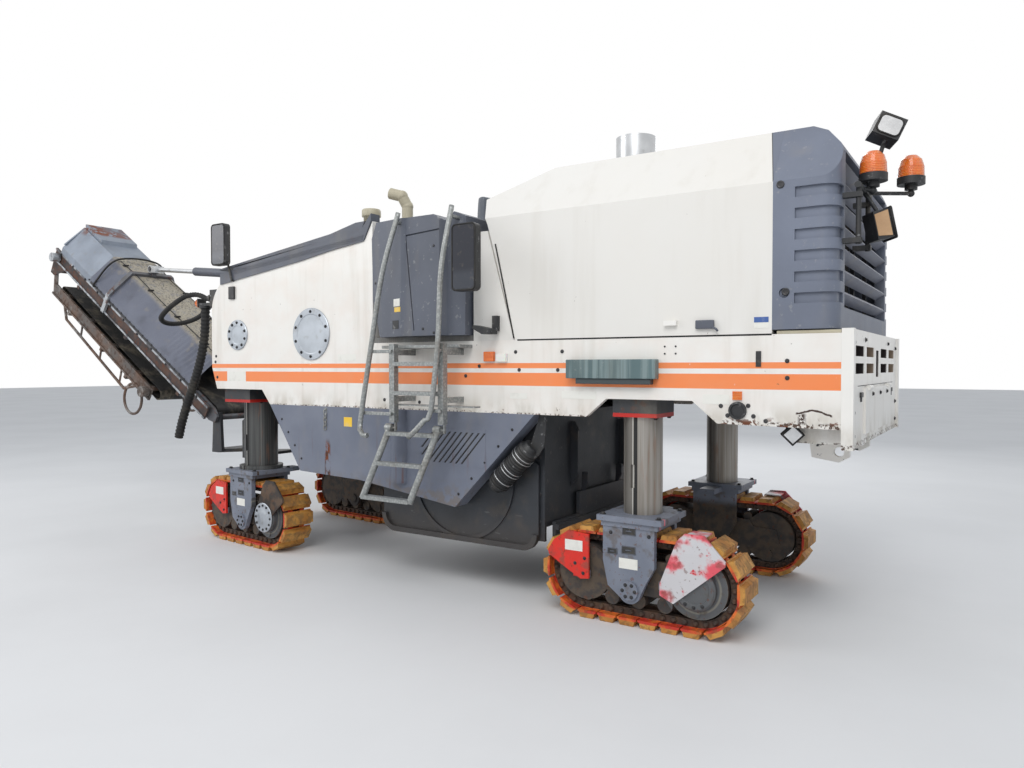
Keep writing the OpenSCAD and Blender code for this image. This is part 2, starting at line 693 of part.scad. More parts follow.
module side_fittings() {
    union() {
        // Lamp box with its step, lamp feet, round port and horn bracket
        box([1065, side_y + seat, 1592], [1665, side_y + 62, 1680]);
        box([1085, side_y + seat, 1565], [1600, side_y + 50, 1593]);
        translate([560, side_y + seat, 1400]) rotate([-90, 0, 0]) rotate_extrude()
            polygon([[0, 0], [52, 0], [52, 14], [40, 14], [36, 6], [0, 6]]);
        box([2225, side_y + seat, 1905], [2265, side_y + 40, 2010]);
        plate_y(side_y + 39, side_y + 130) polygon([[2220, 1880], [2290, 1880], [2370, 1920], [2365, 1945],
            [2220, 1915]]);
        box([930, side_y + seat, 1905], [1010, side_y + 26, 1935]);
    }
}

filler_y = 700;
intake_y = 650;
module filler_and_intake() {
    color([0.8, 0.76, 0.65]) on_frame() {
        translate([3720, filler_y, top_z(3650) + seat]) {
            cylinder(r = 70, h = 120);
            translate([0, 0, 119]) cylinder(r = 82, h = 60);
        }
        bent_tube([[3370, intake_y, 2790 + seat], [3370, intake_y, 2960], [3400, intake_y + 30, 3040],
            [3500, intake_y + 60, 3070]], 45);
    }
}

// Cross-section of the hood, from side to side and upward
module hood_section(t) {
    polygon([[-side_y + t, seam_z + (t > 0 ? -50 : 0)], [-side_y + t, crease_z],
        [-roof_half_w + t * 0.6, hood_top_z - t],
        [roof_half_w - t * 0.6, hood_top_z - t], [side_y - t, crease_z],
        [side_y - t, seam_z + (t > 0 ? -50 : 0)]]);
}
module hood_body(t) {
    intersection() {
        translate([-200, 0, 0]) rotate([90, 0, 90]) linear_extrude(3000) hood_section(t);
        plate_y(-side_y, side_y) polygon([[surround_x - (t > 0 ? 50 : 0), seam_z + seat - (t > 0 ? 50 : 0)],
            [2100, seam_z + seat - (t > 0 ? 50 : 0)], [2100, seam_z + seat], [2328, 2650],
            [2420 - t, 2860 - t], [1930, hood_top_z + 1], [surround_x - (t > 0 ? 50 : 0), hood_top_z + 1]]);
    }
}
module hood() {
    color([0.93, 0.92, 0.88]) on_frame() {
        difference() {
            hood_body(0);
            hood_body(hood_t);
        }
        // Hinge lug behind the front edge on each side, with its pin
        both_sides() {
            plate_y(hinge_y + hinge_lug_t / 2 + 2, hinge_y + hinge_lug_t * 1.5 + 2)
                polygon([[hinge_x - 50, hinge_z + 48], [hinge_x - 14, hinge_z + 136],
                    [hinge_x + 24, hinge_z + 40],
                    [hinge_x + 26, hinge_z - 8], [hinge_x, hinge_z - 26], [hinge_x - 26, hinge_z - 8]]);
            translate([hinge_x, hinge_y + hinge_lug_t + 2, hinge_z]) rotate([90, 0, 0])
                cylinder(r = hinge_r, h = hinge_lug_t * 1.5 + 4);
        }
    }
}

pipe_t = 12;
module exhaust() {
    color([0.8, 0.81, 0.82]) on_frame() translate([1650, 0, hood_top_z + seat]) rotate_extrude()
        polygon([[0, 0], [exhaust_r, 0], [exhaust_r, exhaust_len], [exhaust_r - pipe_t, exhaust_len],
            [exhaust_r - pipe_t, 40], [0, 40]]);
}

// The surround seen from above, with round rear corners; t moves the outline inward
surround_rear_x = 20;
corner_r = 95;
module surround_plan(t) {
    translate([surround_rear_x + corner_r, -side_y + t])
        square([surround_x - surround_rear_x, 2 * (side_y - t)]);
    translate([surround_rear_x + t, -side_y + corner_r]) square([surround_x, 2 * (side_y - corner_r)]);
    for (s = [-1, 1]) translate([surround_rear_x + corner_r, s * (side_y - corner_r)])
        circle(r = corner_r - t);
}
// Depth, height, pitch and number of the moulded bands round both rear corners
band_in = 16;
band_h = 58;
band_pitch = 118;
band_count = 6;
grille_half_w = 820;
module radiator_surround() {
    color([0.36, 0.38, 0.42]) on_frame() difference() {
        intersection() {
            translate([-200, 0, 0]) rotate([90, 0, 90]) linear_extrude(700) hood_section(0);
            plate_y(-side_y, side_y) polygon([[surround_rear_x, seam_z + 26],
                [surround_x - seat, seam_z + 26],
                [surround_x - seat, hood_top_z + 1], [210, hood_top_z + 1], [120, hood_top_z - 45],
                [40, 2910], [surround_rear_x, 2860]]);
            linear_extrude(4000) surround_plan(0);
        }
        intersection() {
            translate([-200, 0, 0]) rotate([90, 0, 90]) linear_extrude(800) hood_section(60);
            plate_y(-side_y, side_y) polygon([[80, 1700], [surround_x + 50, 1700],
                [surround_x + 50, hood_top_z - 55], [200, hood_top_z - 55], [100, 2860]]);
        }
        box([-50, -grille_half_w, seam_z + 150], [200, grille_half_w, 2865]);
        for (i = [0 : band_count - 1]) intersection() {
            translate([0, 0, 2010 + band_pitch * i]) linear_extrude(band_h) difference() {
                surround_plan(-5);
                surround_plan(band_in);
            }
            both_sides() box([-50, grille_half_w + 45, 1900], [250, side_y + 50, 3000]);
        }
        // Recesses of the fixing bolts
        both_sides() for (z = [2070, 2760]) translate([305, side_y - 14, z]) rotate([-90, 0, 0])
            cylinder(r = 28, h = 60);
    }
}

slat_pitch = 122;
slat_z0 = 2055;
module radiator_grille() {
    color([0.3, 0.32, 0.36]) on_frame() {
        for (i = [0 : slat_count - 1])
            translate([55, -grille_half_w + seat, slat_z0 + slat_pitch * i]) rotate([0, 32, 0])
                box([-36, 0, -9], [36, 2 * (grille_half_w - seat), 9]);
        for (s = [-1, 0, 1]) box([100, s * 500 - 12, seam_z + 150 + seat],
            [124, s * 500 + 12, 2865 - seat]);
    }
}

// Station, side offset and height of the two beacons' seats, and where their arms leave the tube
BEACONS = [[-112, 750, 2690, 790], [-270, 430, 2715, 650]];
beacon_r = 75;
post_x = -60;
// Side offset of the two posts on the grille
POSTS = [890, 560];
module light_mast() {
    color([0.12, 0.12, 0.13]) on_frame() {
        for (y = POSTS) {
            bar([post_x, y, 2330], [post_x, y, 2645], 14);
            for (z = [2350, 2600]) box([post_x - 18, y - 22, z - 14],
                [surround_rear_x - seat, y + 22, z + 14]);
        }
        // Cross tube, then the beacons' arms with their seats
        bar([post_x, POSTS[0] + 30, 2650], [post_x, POSTS[1] - 30, 2650], 18);
        for (b = BEACONS) {
            bar([post_x, b[3], 2650], [b[0], b[1], b[2] - 50], 11);
            translate([b[0], b[1], b[2] - 50]) sphere(r = 20, $fn = 24);
            translate([b[0], b[1], b[2] - 50]) cylinder(r = 13, h = 51);
            translate([b[0], b[1], b[2] - 30]) cylinder(r = 34, h = 31);
            translate([b[0], b[1], b[2]]) cylinder(r = beacon_r, h = 42);
        }
        bar([post_x, POSTS[1] + 40, 2650], [-150, 560, 2980], 12);
        // Upper lamp and lower work lamp
        translate([-150, 550, 3020]) rotate([0, -25, 20]) box([-75, -95, -62], [75, 95, 62]);
        bar([post_x, (POSTS[0] + POSTS[1]) / 2, 2650], [-140, 715, 2510], 11);
        translate([-140, 716, 2445]) rotate([0, 12, 30]) box([-50, -75, -80], [50, 75, 80]);
    }
}

module lamps() {
    color([0.9, 0.45, 0.1]) on_frame() for (b = BEACONS)
        translate([b[0], b[1], b[2] + 42 + seat]) rotate_extrude()
            polygon([[0, 0], [beacon_r - 4, 0], [beacon_r - 6, 60], [beacon_r - 18, 100],
                [beacon_r - 42, 124], [0, 132]]);
}

// Amber lamps and reflectors on the side walls and on the hose bracket
module side_lamps() {
    color([0.9, 0.45, 0.1]) on_frame() {
        both_sides() {
            box([2160, side_y + seat, 1690], [2240, side_y + 30, 1745]);
            box([535, side_y + seat, 1462], [590, side_y + 8, 1512]);
        }
        translate([arm_x + seat, 950, 2256]) rotate([0, 90, 0]) rotate_extrude()
            polygon([[0, 0], [40, 0], [40, 40], [30, 62], [0, 70]]);
    }
}

lug_y0 = 305;
lug_y1 = 340;
luff_pin_r = 30;
module slew_bracket() {
    color([0.25, 0.26, 0.28]) on_frame() {
        slew_foot();
        lift_clevis();
    }
}
module slew_foot() {
    difference() {
        union() {
            translate([slew_x, 0, slew_plate_z - 20]) cylinder(r = slew_pin_r, h = 60);
            translate([slew_x, 0, slew_plate_z + 30 + seat]) cylinder(r = 110, h = 36);
            translate([0, 0, slew_plate_z + 30 + seat]) linear_extrude(36)
                polygon([[slew_x - 60, -90], [slew_x + luff_reach - 30, -lug_y1],
                    [slew_x + luff_reach + 80, -lug_y1],
                    [slew_x + luff_reach + 80, lug_y1], [slew_x + luff_reach - 30, lug_y1],
                    [slew_x - 60, 90]]);
            both_sides() plate_y(lug_y0, lug_y1) polygon([[slew_x + luff_reach - 80, slew_plate_z + 40],
                [slew_x + luff_reach + 80, slew_plate_z + 40], [slew_x + luff_reach + 55, luff_z + 55],
                [slew_x + luff_reach - 55, luff_z + 55]]);
        }
        translate([slew_x + luff_reach, 500, luff_z]) rotate([90, 0, 0])
            cylinder(r = luff_pin_r + fit, h = 1000);
    }
}

// Draws in the boom's own axes: x along the boom from its tilting pivot, z square to it
module on_boom() {
    on_frame() translate([slew_x + luff_reach, 0, luff_z]) rotate([0, -boom_angle, 0]) children();
}

// Outline of a flat loop between two pulleys, from x0 to x1 and z0 to z1
module belt_outline(x0, x1, z0, z1, t) {
    r = (z1 - z0) / 2;
    translate([x0 + r, z0 + r]) circle(r = r - t);
    translate([x1 - r, z0 + r]) circle(r = r - t);
    translate([x0 + r, z0 + t]) square([x1 - x0 - 2 * r, 2 * (r - t)]);
}

rail_z0 = -70;
rail_z1 = 80;
fold_v = -210;
fold_pin_r = 25;
belt_z0 = -68;
belt_z1 = 62;
belt_t = 12;
belt_half_w = 295;
cover_x0 = 420;
cover_x1 = 2750;
rail_recess = 14;
// Side rail from x0 to x1 and z0 to z1, with its outer face at y and a recessed web
module channel_rail(x0, x1, y, t, z0, z1) {
    difference() {
        box([x0, y - t, z0], [x1, y, z1]);
        box([x0 - 1, y - rail_recess, z0 + 22], [x1 + 1, y + 1, z1 - 22]);
    }
}
module boom_frame() {
    color([0.45, 0.46, 0.49]) on_boom() {
        both_sides() {
            channel_rail(80, boom_len + 60, boom_half_w, 30, rail_z0, rail_z1);
            // Inner plate that hangs on the tilting pivot
            plate_y(lug_y1 + 5, lug_y1 + 35) polygon([[-40, -40], [-40, 40], [60, rail_z1], [400, rail_z1],
                [400, rail_z0], [60, rail_z0]]);
            box([90, lug_y1 + 34, -60], [190, boom_half_w - 29, 70]);
            // Hanger of the folding hinge
            difference() {
                plate_y(boom_half_w - 28, boom_half_w - 15) polygon([[boom_len - 260, rail_z0 + 1],
                    [boom_len + 60, rail_z0 + 1], [boom_len + 45, fold_v - 45],
                    [boom_len - 45, fold_v - 45]]);
                translate([boom_len, boom_half_w + 10, fold_v]) rotate([90, 0, 0])
                    cylinder(r = fold_pin_r + fit, h = 60);
            }
            // Motor of the belt drive
            translate([boom_len - 60, boom_half_w - 1, 0]) rotate([-90, 0, 0]) cylinder(r = 55, h = 90);
        }
        for (x = [300, 900, 1500, 2100, 2700, 3200])
            box([x, -boom_half_w + 29, -35], [x + 60, boom_half_w - 29, 30]);
        // Rollers that carry the return run
        for (x = [620, 1800, 2980]) translate([x, boom_half_w - 29, -105]) rotate([90, 0, 0])
            cylinder(r = 30, h = 2 * boom_half_w - 58);
        both_sides() for (x = [620, 1800, 2980])
            box([x - 25, boom_half_w - 30, -125], [x + 25, boom_half_w - 16, rail_z0 + 1]);
        translate([0, lug_y1 + 6, 0]) rotate([90, 0, 0]) cylinder(r = luff_pin_r, h = 2 * lug_y1 + 12);
        // Bow over the cover, with the lug that the luffing cylinder holds
        translate([eye_u - 30, 0, 0]) rotate([90, 0, 90]) linear_extrude(60) difference() {
            polygon([[-boom_half_w - 30, -60], [-boom_half_w - 30, 175], [-265, 495], [265, 495],
                [boom_half_w + 30, 175], [boom_half_w + 30, -60]]);
            polygon([[-boom_half_w + 1, -61], [-boom_half_w + 1, rail_z1], [-boom_half_w - 3, rail_z1],
                [-boom_half_w - 3, 162], [-252, 464], [252, 464], [boom_half_w + 3, 162],
                [boom_half_w + 3, rail_z1], [boom_half_w - 1, rail_z1], [boom_half_w - 1, -61]]);
        }
        plate_y(-20, 20) polygon([[eye_u - 60, 490], [eye_u + 60, 490], [eye_u + 30, eye_v + 30],
            [eye_u - 30, eye_v + 30]]);
        translate([eye_u, 60, eye_v]) rotate([90, 0, 0]) cylinder(r = cyl_pin_r, h = 120);
    }
}

module boom_belt() {
    color([0.12, 0.12, 0.12]) on_boom() plate_y(-belt_half_w, belt_half_w) difference() {
        belt_outline(60, boom_len - 10, belt_z0, belt_z1, 0);
        belt_outline(60, boom_len - 10, belt_z0, belt_z1, belt_t);
    }
}

module cover_section(x0, x1, t) {
    translate([x0, 0, 0]) rotate([90, 0, 90]) linear_extrude(x1 - x0) difference() {
        polygon([[-boom_half_w, rail_z1 + seat], [-boom_half_w, 160], [-250, 460], [250, 460],
            [boom_half_w, 160], [boom_half_w, rail_z1 + seat]]);
        polygon([[-boom_half_w + t, rail_z1 - 10], [-boom_half_w + t, 160 - t * 0.4],
            [-250 + t * 0.5, 460 - t],
            [250 - t * 0.5, 460 - t], [boom_half_w - t, 160 - t * 0.4], [boom_half_w - t, rail_z1 - 10]]);
    }
}
module boom_cover() {
    color([0.42, 0.43, 0.47]) on_boom() cover_section(cover_x0, cover_x1, 25);
}
// Sheet hood over the end of the first belt, with a closed front and a rusty lip on top
module boom_end_box() {
    color([0.6, 0.62, 0.65]) on_boom() {
        cover_section(cover_x1 + 1, boom_len - 80, 20);
        translate([boom_len - 100, 0, 0]) rotate([90, 0, 90]) linear_extrude(20)
            polygon([[-boom_half_w, 200], [-250, 459], [250, 459], [boom_half_w, 200]]);
        plate_y(-230, 230) polygon([[boom_len - 500, 459], [boom_len - 80, 459], [boom_len - 60, 500],
            [boom_len - 480, 500]]);
    }
}

fold_rail_z0 = -280;
fold_rail_z1 = -130;
fold_belt_z0 = -272;
fold_belt_z1 = -142;
// Guard tube below the folded section, as distance from the fold pivot and height
GUARD = [[-420, -275], [-540, -400], [-2050, -440], [-2250, -275]];
ring_r = 175;
module fold_frame() {
    color([0.4, 0.38, 0.36]) on_boom() translate([boom_len, 0, fold_v]) {
        both_sides() {
            channel_rail(-fold_len + 60, -80, fold_half_w - 4, 26, fold_rail_z0, fold_rail_z1);
            plate_y(fold_half_w - 30, fold_half_w - 19) polygon([[-40, 30], [30, 30], [30, -30],
                [-90, fold_rail_z0], [-300, fold_rail_z0], [-300, fold_rail_z1], [-120, fold_rail_z1]]);
            y = fold_half_w - 17;
            bent_tube([for (g = GUARD) [g[0], y, g[1]]], 16);
            for (x = [-900, -1400, -1900]) bar([x, y, -270], [x - 40, y, -405 + (x + 540) * 0.0265], 12);
            // Motor with its hose block, and the ring guard beside the free end
            translate([-fold_len + 130, fold_half_w - 5, -207]) rotate([-90, 0, 0])
                cylinder(r = 60, h = 80);
            translate([-fold_len + 330, y, -440]) rotate([90, 0, 0]) rotate_extrude($fn = 40)
                translate([ring_r, 0]) circle(r = 15, $fn = 16);
            box([-fold_len + 310, y - 12, -290], [-fold_len + 350, y + 12, fold_rail_z0 + 20]);
        }
        for (x = [250, 850, 1450, 2050, 2380])
            box([-x - 60, -fold_half_w + 29, -225], [-x, fold_half_w - 29, -190]);
        for (x = [540, 1400, 2000]) translate([-x, fold_half_w - 29, -312]) rotate([90, 0, 0])
            cylinder(r = 28, h = 2 * fold_half_w - 58);
        both_sides() for (x = [540, 1400, 2000])
            box([-x - 22, fold_half_w - 30, -330], [-x + 22, fold_half_w - 12, fold_rail_z0 + 1]);
        translate([0, boom_half_w - 14, 0]) rotate([90, 0, 0])
            cylinder(r = fold_pin_r, h = 2 * boom_half_w - 28);
    }
}

module fold_belt() {
    color([0.12, 0.12, 0.12]) on_boom() translate([boom_len, 0, fold_v]) plate_y(-belt_half_w, belt_half_w)
        difference() {
            belt_outline(-fold_len, -90, fold_belt_z0, fold_belt_z1, 0);
            belt_outline(-fold_len, -90, fold_belt_z0, fold_belt_z1, belt_t);
        }
}

// The luffing cylinder's cross pin and its eye, as station and height
cyl_base = [slew_x, 2650];
eye_u = 2300;
eye_v = 560;
cyl_eye = [slew_x + luff_reach + eye_u * cos(boom_angle) - eye_v * sin(boom_angle),
    luff_z + eye_u * sin(boom_angle) + eye_v * cos(boom_angle)];
cyl_len = norm(cyl_eye - cyl_base);
cyl_angle = atan2(cyl_eye[1] - cyl_base[1], cyl_eye[0] - cyl_base[0]);
barrel_len = cyl_len * 0.55;
cyl_pin_r = 20;
swivel_z = 2570;
module on_cylinder() {
    on_frame() translate([cyl_base[0], 0, cyl_base[1]]) rotate([0, -cyl_angle, 0]) children();
}

// Arm that reaches forward from the top of the nose to the luffing cylinder's upper swivel
stay_foot_x = 5000;
module stay_bracket() {
    color([0.2, 0.21, 0.22]) on_frame() difference() {
        union() {
            box([stay_foot_x - 40, -60, swivel_z - 60], [slew_x, 60, swivel_z]);
            translate([slew_x, 0, swivel_z - 60]) cylinder(r = 60, h = 60);
            box([stay_foot_x - 50, -500, swivel_z - 60], [stay_foot_x + 50, 500, swivel_z - 10]);
            for (s = [-1, 1]) plate_y(s * 470 - 20, s * 470 + 20) polygon([
                [stay_foot_x - 80, top_z(stay_foot_x - 80) + seat],
                [stay_foot_x + 80, top_z(stay_foot_x + 80) + seat],
                [stay_foot_x + 30, swivel_z - 12], [stay_foot_x - 30, swivel_z - 12]]);
        }
        translate([slew_x, 0, swivel_z - 100]) cylinder(r = 25 + fit, h = 200);
    }
}

// Upper swivel that holds the luffing cylinder and turns with the slewing bracket
module lift_clevis() {
    union() {
        translate([slew_x, 0, swivel_z - 65]) cylinder(r = 25, h = 70);
        translate([slew_x, 0, swivel_z + seat]) cylinder(r = 55, h = 12);
        for (s = [-1, 1]) plate_y(s * 48 - 10, s * 48 + 10) polygon([[slew_x - 40, swivel_z + 6],
            [slew_x + 40, swivel_z + 6], [slew_x + 30, cyl_base[1] + 32], [slew_x - 30, cyl_base[1] + 32]]);
        translate([slew_x, 58, cyl_base[1]]) rotate([90, 0, 0]) cylinder(r = cyl_pin_r, h = 116);
    }
}

module lift_barrel() {
    color([0.6, 0.61, 0.62]) on_cylinder() difference() {
        union() {
            rotate([90, 0, 0]) translate([0, 0, -30]) cylinder(r = 38, h = 60);
            box([0, -30, -30], [60, 30, 30]);
            rotate([0, 90, 0]) translate([0, 0, 52]) cylinder(r = 48, h = barrel_len - 52);
        }
        rotate([90, 0, 0]) translate([0, 0, -40]) cylinder(r = cyl_pin_r + fit, h = 80);
        translate([barrel_len - 700, 0, 0]) rotate([0, 90, 0]) cylinder(r = 26 + fit, h = 800);
    }
}

module lift_rod() {
    color([0.8, 0.8, 0.8]) on_cylinder() difference() {
        union() {
            translate([barrel_len - 250, 0, 0]) rotate([0, 90, 0])
                cylinder(r = 26, h = cyl_len - barrel_len + 250 - 90);
            for (s = [-1, 1]) {
                box([cyl_len - 95, s * 45 - 10, -40], [cyl_len, s * 45 + 10, 40]);
                translate([cyl_len, s * 45 + 10, 0]) rotate([90, 0, 0]) cylinder(r = 46, h = 20);
            }
            box([cyl_len - 115, -55, -40], [cyl_len - 94, 55, 40]);
        }
        translate([cyl_len, 100, 0]) rotate([90, 0, 0]) cylinder(r = cyl_pin_r + 14, h = 200);
    }
}

spigot_r = 60;
module lift_column(front, side) {
    c = column(front);
    translate([c[0], side * c[1], yoke_top_z + seat]) {
        difference() {
            union() {
                cylinder(r = c[2], h = guide_z1 - yoke_top_z - 20, $fn = 64);
                // Foot collar of the front columns
                if (front) cylinder(r = c[2] + 45, h = 34, $fn = 64);
            }
            // Slot of the key that keeps the column from turning
            translate([20, side * c[2], 170]) box([-14, -14, 0], [14, 14, 150]);
        }
        translate([0, 0, -60]) cylinder(r = spigot_r, h = 61);
    }
}
module column_rear_left() { color([0.6, 0.6, 0.58]) on_frame() lift_column(false, 1); }
module column_rear_right() { color([0.6, 0.6, 0.58]) on_frame() lift_column(false, -1); }
module column_front_left() { color([0.2, 0.21, 0.22]) on_frame() lift_column(true, 1); }
module column_front_right() { color([0.2, 0.21, 0.22]) on_frame() lift_column(true, -1); }

// Everything on a steered unit is drawn about its column axis and turned to its parked angle
function track_shift(front) = front ? 65 : -27;
module on_unit(front, side) {
    c = column(front);
    translate([c[0], side * c[1],
        0]) rotate([0, 0, front ? park_steer : 0]) translate([0, side * 20, 0]) children();
}

end_r = track_h / 2;
// The loop is two straight runs and two half circles; a place on it is given by the distance
// travelled from the rear end of the top run
chain_t = 50;
chain_y = 60;
path_r = end_r - pad_t;
run_len = track_len - track_h;
loop_len = 2 * run_len + 2 * PI * path_r;
function loop_place(d) =
    d < run_len ? [-run_len / 2 + d, path_r, 0]
    : d < run_len + PI * path_r ? let (a = (d - run_len) / path_r * 180 / PI)
        [run_len / 2 + path_r * sin(a), path_r * cos(a), a]
    : d < 2 * run_len + PI * path_r ? [run_len / 2 - (d - run_len - PI * path_r), -path_r, 180]
    : let (a = (d - 2 * run_len - PI * path_r) / path_r * 180 / PI)
        [-run_len / 2 - path_r * sin(a), -path_r * cos(a), 180 + a];
roller_z = 165;
wheel_r = path_r - chain_t - 12;
// Outlines in the unit's own axes: distance along the track from the column, and height
module yoke_cheek() {
    polygon([[-165, yoke_top_z - 69], [-165, 400], [-110, 300], [-60, 190], [60, 190], [150, 260],
        [185, 420], [185, yoke_top_z - 69]]);
    translate([0, 235]) circle(r = 75);
}
module front_guard() {
    polygon([[300, 560], [452, 572], [560, 500], [606, 425], [598, 395], [470, 320], [360, 262],
        [300, 270]]);
}
module rear_guard() {
    polygon([[-300, 590], [-350, 640], [-470, 640], [-600, 500], [-600, 470], [-280, 200], [-190, 240],
        [-190, 310]]);
}
module track_frame_side() {
    polygon([[-470, 250], [-400, 205], [420, 205], [470, 260], [455, 330], [330, 330], [300, 420],
        [230, 430],
        [-230, 430], [-260, 380], [-440, 370]]);
}
cheek_in = 152;
cheek_out = 192;
pivot_r = 45;
roller_r = 50;
ROLLERS = [-360, -180, 0, 180, 360];
module undercarriage(front, side) {
    // The rear units drive at their rear end, the front units at theirs too, and the idler leads
    s = track_shift(front);
    drive_x = -run_len / 2;
    on_unit(front, side) {
        difference() {
            union() {
                box([-220, -215, yoke_top_z - 36], [220, 215, yoke_top_z]);
                box([-190, -200, yoke_top_z - 70], [195, 200, yoke_top_z - 35]);
                for (w = [-1, 1]) plate_y(w * (cheek_in + cheek_out) / 2 - 20,
                    w * (cheek_in + cheek_out) / 2 + 20)
                    yoke_cheek();
                // Steering arm that points inward
                translate([-60, -side * 300, yoke_top_z - 60]) box([0, -100, 0], [120, 100, 40]);
            }
            translate([0, -side * 20, yoke_top_z - 61]) cylinder(r = spigot_r + fit, h = 100);
        }
        // Pin on which the track frame rocks, with its cap
        translate([0, 205, 245]) rotate([90, 0, 0]) cylinder(r = pivot_r, h = 410);
        translate([0, side * 192, 245]) rotate([-side * 90, 0, 0]) cylinder(r = 62, h = 16);
        translate([s, 0, 0]) {
            // Frame between the runs of the track
            for (w = [-1, 1]) plate_y(w * 105 - 14, w * 105 + 14) track_frame_side();
            box([-420, -92, 235], [430, 92, 330]);
            box([-200, -92, 329], [220, 92, 400]);
            for (x = ROLLERS) translate([x, 119, roller_z]) rotate([90, 0, 0])
                cylinder(r = roller_r, h = 238);
            for (x = [-210, 230]) translate([x, 100, 452]) rotate([90, 0, 0]) cylinder(r = 34, h = 200);
            // Drive hub and idler
            translate([drive_x, 0, end_r]) rotate([-side * 90, 0, 0]) rotate_extrude() polygon([
                [0, -110], [wheel_r, -110], [wheel_r, 110], [132, 116], [132, 150], [120, 160], [96, 160],
                [90, 152], [0, 152]]);
            translate([-drive_x, 0, end_r]) rotate([90, 0, 0])
                cylinder(r = wheel_r - 8, h = 236, center = true);
        }
        // Guards over both ends on the outer side, carried by brackets
        translate([0, 0, 0]) {
            plate_y(side > 0 ? cheek_in : -cheek_in - 16, side > 0 ? cheek_in + 16 : -cheek_in) {
                front_guard();
                rear_guard();
            }
            for (x = [[300, 420], [-300, -180]]) box([min(x[0], x[1]), side > 0 ? 118 : -cheek_in - 1, 270],
                [max(x[0], x[1]), side > 0 ? cheek_in + 1 : -118, 320]);
        }
    }
}
module undercarriage_rear_left() { color([0.33, 0.35, 0.38]) on_frame() undercarriage(false, 1); }
module undercarriage_rear_right() { color([0.33, 0.35, 0.38]) on_frame() undercarriage(false, -1); }
module undercarriage_front_left() { color([0.33, 0.35, 0.38]) on_frame() undercarriage(true, 1); }
module undercarriage_front_right() { color([0.33, 0.35, 0.38]) on_frame() undercarriage(true, -1); }

module loop_outline(r) {
    translate([-run_len / 2, end_r]) circle(r = r, $fn = 24);
    translate([run_len / 2, end_r]) circle(r = r, $fn = 24);
    translate([-run_len / 2, end_r - r]) square([run_len, 2 * r]);
}
// One shoe with its pad, seen from the side: a thin plate and a block with slanted ends
shoe_t = 12;
shoe_len = 132;
module shoe_outline() {
    polygon([[-shoe_len / 2, 0], [shoe_len / 2, 0], [shoe_len / 2, shoe_t], [56, shoe_t + 2], [46, pad_t],
        [-46, pad_t], [-56, shoe_t + 2], [-shoe_len / 2, shoe_t]]);
}
module track(front, side) {
    on_unit(front, side) translate([track_shift(front), 0, 0]) {
        // Two chains of links, then the shoes that bridge them
        for (w = [-1, 1]) plate_y(w * chain_y - 24, w * chain_y + 24) difference() {
            loop_outline(path_r + 1);
            loop_outline(path_r - chain_t);
        }
        for (i = [0 : pad_count - 1]) {
            // Laid out from the middle of the lower run, so that both its ends meet the ground alike
            p = loop_place((loop_len * (0.5 + (i + 0.5) / pad_count) + run_len / 2) % loop_len);
            translate([p[0], 0, end_r + p[1]]) rotate([0, p[2], 0])
                plate_y(-track_w / 2, track_w / 2) shoe_outline();
        }
    }
}
module track_rear_left() { color([0.85, 0.5, 0.12]) on_frame() track(false, 1); }
module track_rear_right() { color([0.85, 0.5, 0.12]) on_frame() track(false, -1); }
module track_front_left() { color([0.85, 0.5, 0.12]) on_frame() track(true, 1); }
module track_front_right() { color([0.85, 0.5, 0.12]) on_frame() track(true, -1); }

main_frame();
guide_flanges();
side_shell();
rear_panel();
front_body();
tank_trim();
tank_covers();
engine_block();
bulkhead();
platform_floor();
side_boxes();
console();
seats();
handrails();
upper_ladders();
mirrors();
lower_panels();
drum_housing();
primary_conveyor();
sill_fittings();
side_lamps();
hose_loop();
hose_drop();
filler_and_intake();
hood();
exhaust();
radiator_surround();
radiator_grille();
light_mast();
lamps();
drum();
scraper();
side_plate_left();
side_plate_right();
lower_ladder_left();
lower_ladder_right();
stay_bracket();
slew_bracket();
lift_barrel();
lift_rod();
boom_frame();
boom_belt();
boom_cover();
boom_end_box();
fold_frame();
fold_belt();
column_rear_left();
column_rear_right();
column_front_left();
column_front_right();
undercarriage_rear_left();
undercarriage_rear_right();
undercarriage_front_left();
undercarriage_front_right();
track_rear_left();
track_rear_right();
track_front_left();
track_front_right();
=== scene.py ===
import math
import random

import bmesh
import bpy
from mathutils import Matrix, Vector


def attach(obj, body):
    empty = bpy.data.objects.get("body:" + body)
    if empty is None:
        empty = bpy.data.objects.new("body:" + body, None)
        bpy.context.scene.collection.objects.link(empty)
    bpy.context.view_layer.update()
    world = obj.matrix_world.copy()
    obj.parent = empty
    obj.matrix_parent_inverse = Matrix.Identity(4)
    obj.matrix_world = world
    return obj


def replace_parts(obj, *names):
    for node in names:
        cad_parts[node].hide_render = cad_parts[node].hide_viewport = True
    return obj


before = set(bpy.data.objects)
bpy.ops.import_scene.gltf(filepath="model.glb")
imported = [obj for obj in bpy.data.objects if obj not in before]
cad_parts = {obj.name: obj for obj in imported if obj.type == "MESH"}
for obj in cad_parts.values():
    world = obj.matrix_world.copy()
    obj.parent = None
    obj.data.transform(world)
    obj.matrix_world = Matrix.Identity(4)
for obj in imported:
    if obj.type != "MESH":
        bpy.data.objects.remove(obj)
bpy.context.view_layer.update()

# Driving dimensions, in metres, that repeat those of the CAD model
ORIGIN_X = 4.585
SIDE_Y = 1.01
SEAM_Z = 1.84
SILL_Z = 1.33
CREASE_Z = 2.7
ROOF_Z = 3.055
SURROUND_X = 0.37
SURROUND_LEAN = 0.075
END_R = 0.305
PATH_R = 0.257
RUN_LEN = 0.76
BOOM_ANGLE = math.radians(32.5)
LUFF = (6.28, 1.12)
FOLD_V = -0.21
DRUM = (2.68, 0.83)
LADDER_Y = 1.23
SEAT_Y = 0.4
SIDES = (-1, 1)
